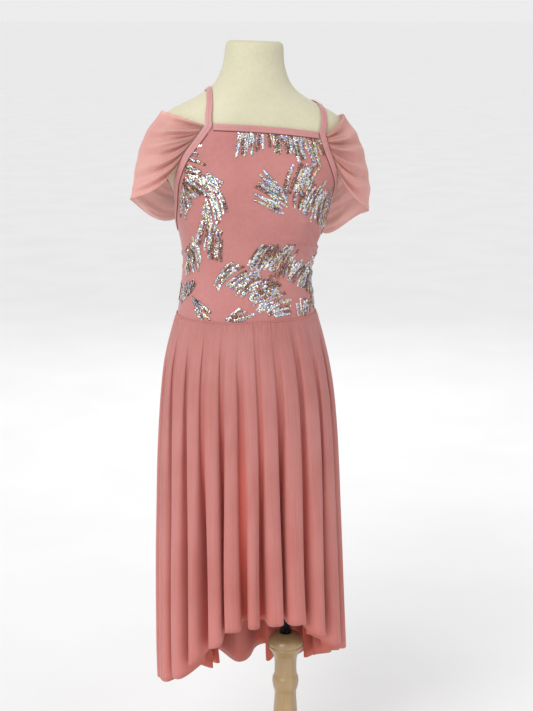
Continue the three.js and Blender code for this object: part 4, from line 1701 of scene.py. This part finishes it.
def skirt_place(first, last):
    def place(across, down):
        return skirt_point(mix(first, last, across), down ** skirt_row_spacing)

    return place


def skirt_layering_and_painted_light(first, last):
    """The deeper colour of the narrow valleys, more so further down: partly the cloth lying over
    itself, partly a painted glow of light bounced in the folds. It also grows towards the hem all
    round.
    """
    def layering_and_painted_light(across, down):
        turn = mix(first, last, across)
        width = fold_at(turn)[3]
        from_ridge = 1 - abs(2 * (turn % 1) - 1)
        below = down ** skirt_row_spacing
        narrow = 1 - smooth_step(*narrow_fold, width)
        in_valley = narrow * from_ridge ** valley_narrowing
        in_valley *= smooth_step(*valley_deepening_span, below)
        return hem_deepening * below + valley_layering_and_painted_light * in_valley

    return layering_and_painted_light


def skirt_piece(name, first, last, size, replaced):
    return cloth_sheet(
        name,
        skirt_place(first, last),
        (last - first) * fold_columns,
        skirt_rows,
        size=size,
        thickness=skirt_wall,
        finish=skirt_mesh,
        replaced=replaced,
        layering_and_painted_light=skirt_layering_and_painted_light(first, last),
    )


skirt_front_sheet = skirt_piece(
    "skirt_front_mesh", 0, folds_in_front, (0.95, 0.6), ["skirt_front"]
)
skirt_back_sheet = skirt_piece(
    "skirt_back_mesh", folds_in_front, len(skirt_folds), (1.1, 0.69), ["skirt_back"]
)


seam_stitches = 330
points_a_stitch = 4
stitch_pinch = 0.12
seam_roll = {"rise": 3.2, "lift": 4.0, "half_height": 1.1, "half_depth": 0.8}


def waist_seam_place(along, around):
    """A rolled overlocked edge where the skirt joins the bodice"""
    angle = 360 * (along % 1)
    roll = math.tau * around
    rib = 1 + stitch_pinch * math.cos(math.tau * along * seam_stitches)
    rise = seam_roll["rise"] + seam_roll["half_height"] * rib * math.sin(roll)
    lift = seam_roll["lift"] + seam_roll["half_depth"] * rib * math.cos(roll)
    return lean(settle(form_point(angle, seam_height + rise), lift))


waist_seam = finished_piece(
    "waist_seam",
    tube_of(waist_seam_place, points_a_stitch * seam_stitches, sides=8, size=(0.68, 0.01)),
    skirt_mesh,
)


# The brief

def brief_place(leg_rows, facing):
    """A brief's half, facing the front or the back, from the waist to its leg lines"""
    falls = [{"fall": -row["z"], "angle": row["angle"]} for row in leg_rows]
    angle_on = column_curve(falls, "fall", "angle")
    crotch_angle = angle_on(-crotch_height)

    def bottom_at(across):
        from_side = min(across, 1 - across) / leg_share
        if from_side < 1:
            z = mix(leg_line_side, crotch_height, from_side)
            return math.copysign(angle_on(-z), across - 0.5), z
        along = (across - leg_share) / (1 - 2 * leg_share)
        return mix(-crotch_angle, crotch_angle, along), crotch_height

    def place(across, down):
        angle, low = bottom_at(across)
        start = mix(-90, 90, across)
        top = seam_height - piece_room
        point = form_point(facing + mix(start, angle, down), mix(top, low, down))
        return lean(settle(point, brief_lift))

    return place


def brief_piece(name, place, columns, rows, size, replaced):
    return cloth_sheet(
        name,
        place,
        columns,
        rows,
        size=size,
        thickness=brief_wall,
        finish=brief_cloth,
        replaced=replaced,
    )


brief_front = brief_piece(
    "brief_front_cloth",
    brief_place(front_leg_line, 0),
    brief_columns,
    brief_rows,
    size=(0.36, 0.25),
    replaced=["brief_front"],
)
brief_back = brief_piece(
    "brief_back_cloth",
    brief_place(back_leg_line, 180),
    brief_columns,
    brief_rows,
    size=(0.38, 0.25),
    replaced=["brief_back"],
)


def gusset_place(across, down):
    """Down the front, under the form and up the back, between the two leg lines"""
    x = mix(-gusset_half, gusset_half, across)

    def on_side(z, facing):
        depth = form_front(z) if facing < 0 else form_back(z)
        y = facing * depth * (1 - abs(x / form_half(z)) ** form_power(z)) ** (1 / form_power(z))
        return settle(Vector((x, y, z)), brief_lift)

    top = crotch_height - piece_room
    low = form_bottom + gusset_bend_height
    if down < gusset_turn:
        return lean(on_side(mix(top, low, down / gusset_turn), -1))
    if down > 1 - gusset_turn:
        return lean(on_side(mix(top, low, (1 - down) / gusset_turn), 1))
    under = (down - gusset_turn) / (1 - 2 * gusset_turn)
    y = mix(on_side(low, -1).y, on_side(low, 1).y, under)
    return lean(Vector((x, y, form_bottom - brief_lift)))


brief_gusset = brief_piece(
    "brief_gusset_cloth",
    gusset_place,
    columns=24,
    rows=60,
    size=(0.066, 0.2),
    replaced=["brief_gusset"],
)


# Sewing: short stitches along the bindings

stitch_pitch = 3.1
stitch_size = (2.1, 0.45, 0.35)
stitch_depth = 0.2
stitch_lift = binding_on_panel + binding_wall - stitch_depth


def stitch_rows(name, lines):
    """Stitches in the groove of the binding along each line"""
    shape = bmesh.new()
    size = Matrix.Diagonal((*(side * METRES for side in stitch_size), 1))
    for line in lines:
        run = 0
        for i in range(1, len(line) - 1):
            run += (line[i] - line[i - 1]).length
            if run < stitch_pitch:
                continue
            run = 0
            along = (line[i + 1] - line[i - 1]).normalized()
            normal = form_gradient(line[i]).normalized()
            across = normal.cross(along).normalized()
            at = lean(settle(line[i] + across * sewn_groove, stitch_lift))
            turn = Matrix((along, across, normal)).transposed().to_4x4()
            bmesh.ops.create_cube(
                shape, size=1, matrix=Matrix.Translation(at) @ turn @ size
            )
    return finished_piece(name, shape, thread)


stitches = stitch_rows(
    "binding_stitches", [right_line, left_line, neck_front_line, neck_back_line]
)


# Sequins, sewn in sprays of short curved strokes

# Each spray: its middle, the way its strokes point (0 up, 90 to the right as seen from outside),
# how many strokes lie side by side, how long they are, how wide the spray is, how much further
# forward each stroke starts than the one before, how far they fan out and how they curve
sprays = table(
    "angle z turn strokes reach width slant fan curve",
    [
        (-4, 1246, 184, 12, 44, 40, 1, 20, 10),
        (14, 1243, 172, 17, 48, 50, -1, 26, -14),
        (6, 1252, 160, 8, 30, 26, 1, 20, 16),
        (34, 1238, 158, 13, 44, 40, 1, 22, 12),
        (-45, 1240, 60, 9, 40, 28, 2, 18, 34),
        (-46, 1212, 98, 15, 50, 44, 2, 20, 26),
        (-56, 1232, 40, 8, 36, 26, 2, 18, 30),
        (-40, 1178, 124, 14, 46, 44, -2, 26, -20),
        (-68, 1146, 178, 11, 46, 34, 2, 18, 14),
        (-36, 1138, 168, 12, 48, 38, 2, 18, 24),
        (-40, 1092, 190, 13, 52, 42, -2, 20, -16),
        (-64, 1056, 172, 11, 48, 34, 2, 18, 16),
        (-74, 1004, 20, 9, 40, 28, 2, 24, -18),
        (-48, 972, 126, 7, 34, 20, 2, 18, 14),
        (3, 1166, -58, 13, 52, 42, 2, 18, 14),
        (21, 1188, 26, 14, 52, 42, 2, 20, 24),
        (36, 1160, 34, 14, 52, 46, 2, 22, 40),
        (52, 1136, 184, 14, 52, 48, -2, 22, -24),
        (70, 1160, 190, 12, 48, 40, 2, 20, 18),
        (60, 1196, 150, 7, 34, 26, 2, 18, 22),
        (80, 1112, 170, 9, 36, 30, 2, 20, -16),
        (8, 1068, 32, 12, 48, 40, 2, 20, 22),
        (20, 1050, 204, 14, 48, 44, 1, 24, -28),
        (46, 1030, 216, 12, 44, 42, 1, 22, -24),
        (-14, 1030, 52, 13, 52, 42, 2, 22, 38),
        (4, 1010, 62, 14, 54, 46, 2, 24, 32),
        (14, 984, 74, 14, 52, 44, 2, 26, 28),
        (62, 1018, 196, 12, 44, 40, 1, 20, 24),
        (74, 1040, 150, 7, 30, 24, 1, 18, 20),
        (76, 992, 172, 11, 46, 36, 2, 20, -22),
        (48, 974, 12, 8, 32, 34, 1, 20, 14),
        (-12, 966, 68, 7, 34, 16, 2, 18, 12),
        (152, 1168, 186, 14, 50, 44, 2, 24, 24),
        (196, 1172, 168, 14, 50, 46, -2, 24, -24),
        (170, 1122, 200, 13, 52, 44, 2, 24, 30),
        (194, 1108, 150, 13, 50, 42, 2, 24, 34),
        (124, 1090, 168, 12, 48, 40, 2, 22, 26),
        (232, 1096, 194, 12, 48, 40, -2, 22, -26),
        (148, 1050, 140, 14, 52, 46, 2, 24, 34),
        (208, 1052, 222, 14, 52, 46, -2, 24, -34),
        (176, 1010, 182, 14, 50, 50, 2, 26, 20),
        (114, 1012, 186, 10, 44, 34, 2, 22, 20),
        (246, 1006, 176, 10, 44, 34, -2, 22, -20),
        (150, 974, 70, 9, 36, 24, 1, 20, 16),
        (212, 976, -64, 9, 36, 24, 1, 20, -16),
    ],
)
sequin_radius = 2.6
sequin_pitch = 2.1
sequin_lift = 3.0
sequin_thickness = 0.3
sequin_sides = 6

# The upper face of a sequin beside its lower one, and how sequins differ: their tilt along and
# across a stroke in degrees, how much higher they may lie, and their light
sequin_top_share = 0.8
shingle_tilt = (-24, -10)
shake_tilt = (-11, 11)
lift_change = (0, 0.5)
light_change = (0.75, 1.2)

# How strokes differ: where they start, their heading in degrees, their length and their curve.
# Strokes at a spray's sides are shorter.
start_change = (-8, 8)
heading_change = (-9, 9)
length_change = (0.7, 1.15)
curve_change = (0.6, 1.3)
side_length_share = 0.62

# A sequin's colour, and how much of the foil's rainbow shows on it
sequin_tints = {
    "silver": (0.80, 0.80, 0.90, 0.88),
    "mirror": (1.0, 0.99, 0.96, 0.1),
    "copper": (0.25, 0.085, 0.05, 0.2),
    "bronze": (0.62, 0.33, 0.14, 0.55),
    "gunmetal": (0.24, 0.25, 0.40, 0.7),
}
tint_shares = [0.33, 0.1, 0.31, 0.15, 0.11]
tint_change = 0.1

# Sequins keep this far from the bindings' edges and from the waist seam
binding_clearance = 10
seam_clearance = 7

armhole_widths = {
    (side, back): column_curve(rows[underarm_row:] if back else rows[: underarm_row + 1], "z", "x")
    for side, rows in ((-1, right_armhole), (1, left_armhole))
    for back in (False, True)
}
front_neck_height = column_curve(front_neckline, "x", "z")
back_neck_height = column_curve(back_neckline, "x", "z")
underarm_height = 1101


def on_bodice(point):
    """True where a place on the form is covered by the bodice and clear of its bindings"""
    back = point.y > 0
    neck = back_neck_height if back else front_neck_height
    if point.z > neck(point.x) - binding_clearance or point.z < seam_height + seam_clearance:
        return False
    if point.z < underarm_height - binding_clearance:
        return True
    side = 1 if point.x > 0 else -1
    return abs(point.x) < armhole_widths[side, back](point.z) - binding_clearance


def headed(point, heading):
    """The ways along and across a heading on the form, and the form's normal"""
    normal = form_gradient(point).normalized()
    right = Vector((0, 0, 1)).cross(normal).normalized()
    up = normal.cross(right)
    way = math.radians(heading)
    along = up * math.cos(way) + right * math.sin(way)
    across = right * math.cos(way) - up * math.sin(way)
    return along, across, normal


def beside(point, heading, sideways, ahead):
    """A place on the form, moved across and along a heading"""
    along, across, _ = headed(point, heading)
    return settle(point + across * sideways + along * ahead, 0)


def walk(start, heading, curve, length):
    """Places for sequins along a stroke that starts with a heading and curves evenly"""
    point = settle(start, 0)
    steps = max(2, round(length / sequin_pitch))
    path = []
    for i in range(steps):
        along, _, normal = headed(point, heading + curve * (i / steps - 0.5))
        path.append((point.copy(), along, normal))
        point = settle(point + along * sequin_pitch, 0)
    return path


def sew_sequin(shape, tint_layer, point, along, normal, tint, chance):
    """A small faceted disc that overlaps the one before it, like a shingle"""
    across = normal.cross(along)
    face = Matrix((along, across, normal)).transposed().to_4x4()
    shingle = Matrix.Rotation(math.radians(chance.uniform(*shingle_tilt)), 4, "Y")
    shake = Matrix.Rotation(math.radians(chance.uniform(*shake_tilt)), 4, "X")
    lift = sequin_lift + crease_lift(point) + chance.uniform(*lift_change)
    at = lean(settle(point, lift))
    made = bmesh.ops.create_cone(
        shape,
        cap_ends=True,
        segments=sequin_sides,
        radius1=sequin_radius * METRES,
        radius2=sequin_top_share * sequin_radius * METRES,
        depth=sequin_thickness * METRES,
        matrix=Matrix.Translation(at) @ face @ shingle @ shake,
    )
    light = chance.uniform(*light_change)
    *colour, rainbow_share = tint
    for vert in made["verts"]:
        vert[tint_layer] = (*(part * light for part in colour), rainbow_share)


def sequin_piece(name, back, seed):
    """The sprays of the front or the back, each stroke a little unlike the others"""
    chance = random.Random(seed)
    shapes = []
    for spray in sprays:
        if (90 < spray["angle"] < 270) != back:
            continue
        shape = bmesh.new()
        tint_layer = shape.verts.layers.float_color.new("sequin_tint")
        shapes.append(shape)
        middle = form_point(spray["angle"], spray["z"])
        count = spray["strokes"]
        for stroke in range(count):
            share = (stroke + 0.5) / count
            sideways = (share - 0.5) * spray["width"]
            ahead = (stroke - count / 2) * spray["slant"] + chance.uniform(*start_change)
            fan = (share - 0.5) * spray["fan"] + chance.uniform(*heading_change)
            length = spray["reach"] * mix(side_length_share, 1, math.sin(math.pi * share))
            length *= chance.uniform(*length_change)
            start = beside(middle, spray["turn"], sideways, ahead - length / 2)
            bent = spray["curve"] * chance.uniform(*curve_change)
            tone = chance.choices(list(sequin_tints), tint_shares)[0]
            for point, along, normal in walk(start, spray["turn"] + fan, bent, length):
                if chance.random() < tint_change:
                    tone = chance.choices(list(sequin_tints), tint_shares)[0]
                if on_bodice(point):
                    sew_sequin(shape, tint_layer, point, along, normal, sequin_tints[tone], chance)
    return finished_piece(name, joined(shapes), foil)


front_sequins = sequin_piece("front_sequins", back=False, seed=17)
back_sequins = sequin_piece("back_sequins", back=True, seed=29)


# The floor and the light

floor_finish = Finish("pale_floor", roughness=0.9)
floor_space = floor_finish.coordinates("Object", (1, 1, 1))
speck = floor_finish.noise(floor_space, scale=3, detail=2)
floor_finish.link(
    floor_finish.ramp(speck, [(0.3, (0.86, 0.86, 0.86)), (0.7, (0.89, 0.89, 0.89))]),
    floor_finish.shader.inputs["Base Color"],
)
floor_shape = bmesh.new()
bmesh.ops.create_circle(floor_shape, cap_ends=True, segments=96, radius=400)
floor_mesh = bpy.data.meshes.new("floor")
floor_shape.to_mesh(floor_mesh)
floor_shape.free()
floor_mesh.materials.append(floor_finish.material)
floor = bpy.data.objects.new("floor", floor_mesh)
bpy.context.scene.collection.objects.link(floor)


def softbox(name, place, target, size, power):
    """A rectangular lamp at a place, turned to its target"""
    data = bpy.data.lights.new(name, "AREA")
    data.shape = "RECTANGLE"
    data.size = size[0]
    data.size_y = size[1]
    data.energy = power
    lamp = bpy.data.objects.new(name, data)
    lamp.location = place
    lamp.rotation_euler = (Vector(target) - Vector(place)).to_track_quat("-Z", "Y").to_euler()
    bpy.context.scene.collection.objects.link(lamp)


softbox(
    "fill_light", place=(2.4, -2.2, 1.6), target=(-0.06, 0, 0.8), size=(2.0, 2.0), power=9
)
softbox(
    "back_light", place=(0.6, 2.8, 2.6), target=(-0.06, 0, 0.9), size=(2.2, 2.2), power=25
)

sun_data = bpy.data.lights.new("soft_sun", "SUN")
sun_data.energy = 2.0
sun_data.angle = math.radians(40)
sun = bpy.data.objects.new("soft_sun", sun_data)
sun.rotation_euler = Vector((1.9, 2.1, -1.9)).to_track_quat("-Z", "Y").to_euler()
bpy.context.scene.collection.objects.link(sun)

# The studio's walls: softer as light on the cloth than as they are seen, bright in the sequins
world = bpy.data.worlds.new("studio")
world.use_nodes = True
studio = world.node_tree
ambient = studio.nodes["Background"]
ambient.inputs["Color"].default_value = (1, 1, 1, 1)
ambient.inputs["Strength"].default_value = 0.58
ray = studio.nodes.new("ShaderNodeLightPath")
lit = ambient.outputs[0]
for rays, brightness in (("Is Glossy Ray", 0.72), ("Is Camera Ray", 0.843)):
    wall = studio.nodes.new("ShaderNodeBackground")
    wall.inputs["Color"].default_value = (brightness, brightness, brightness, 1)
    either = studio.nodes.new("ShaderNodeMixShader")
    studio.links.new(ray.outputs[rays], either.inputs["Fac"])
    studio.links.new(lit, either.inputs[1])
    studio.links.new(wall.outputs[0], either.inputs[2])
    lit = either.outputs[0]
studio.links.new(lit, studio.nodes["World Output"].inputs["Surface"])
bpy.context.scene.world = world
bpy.context.scene.view_settings.view_transform = "Standard"
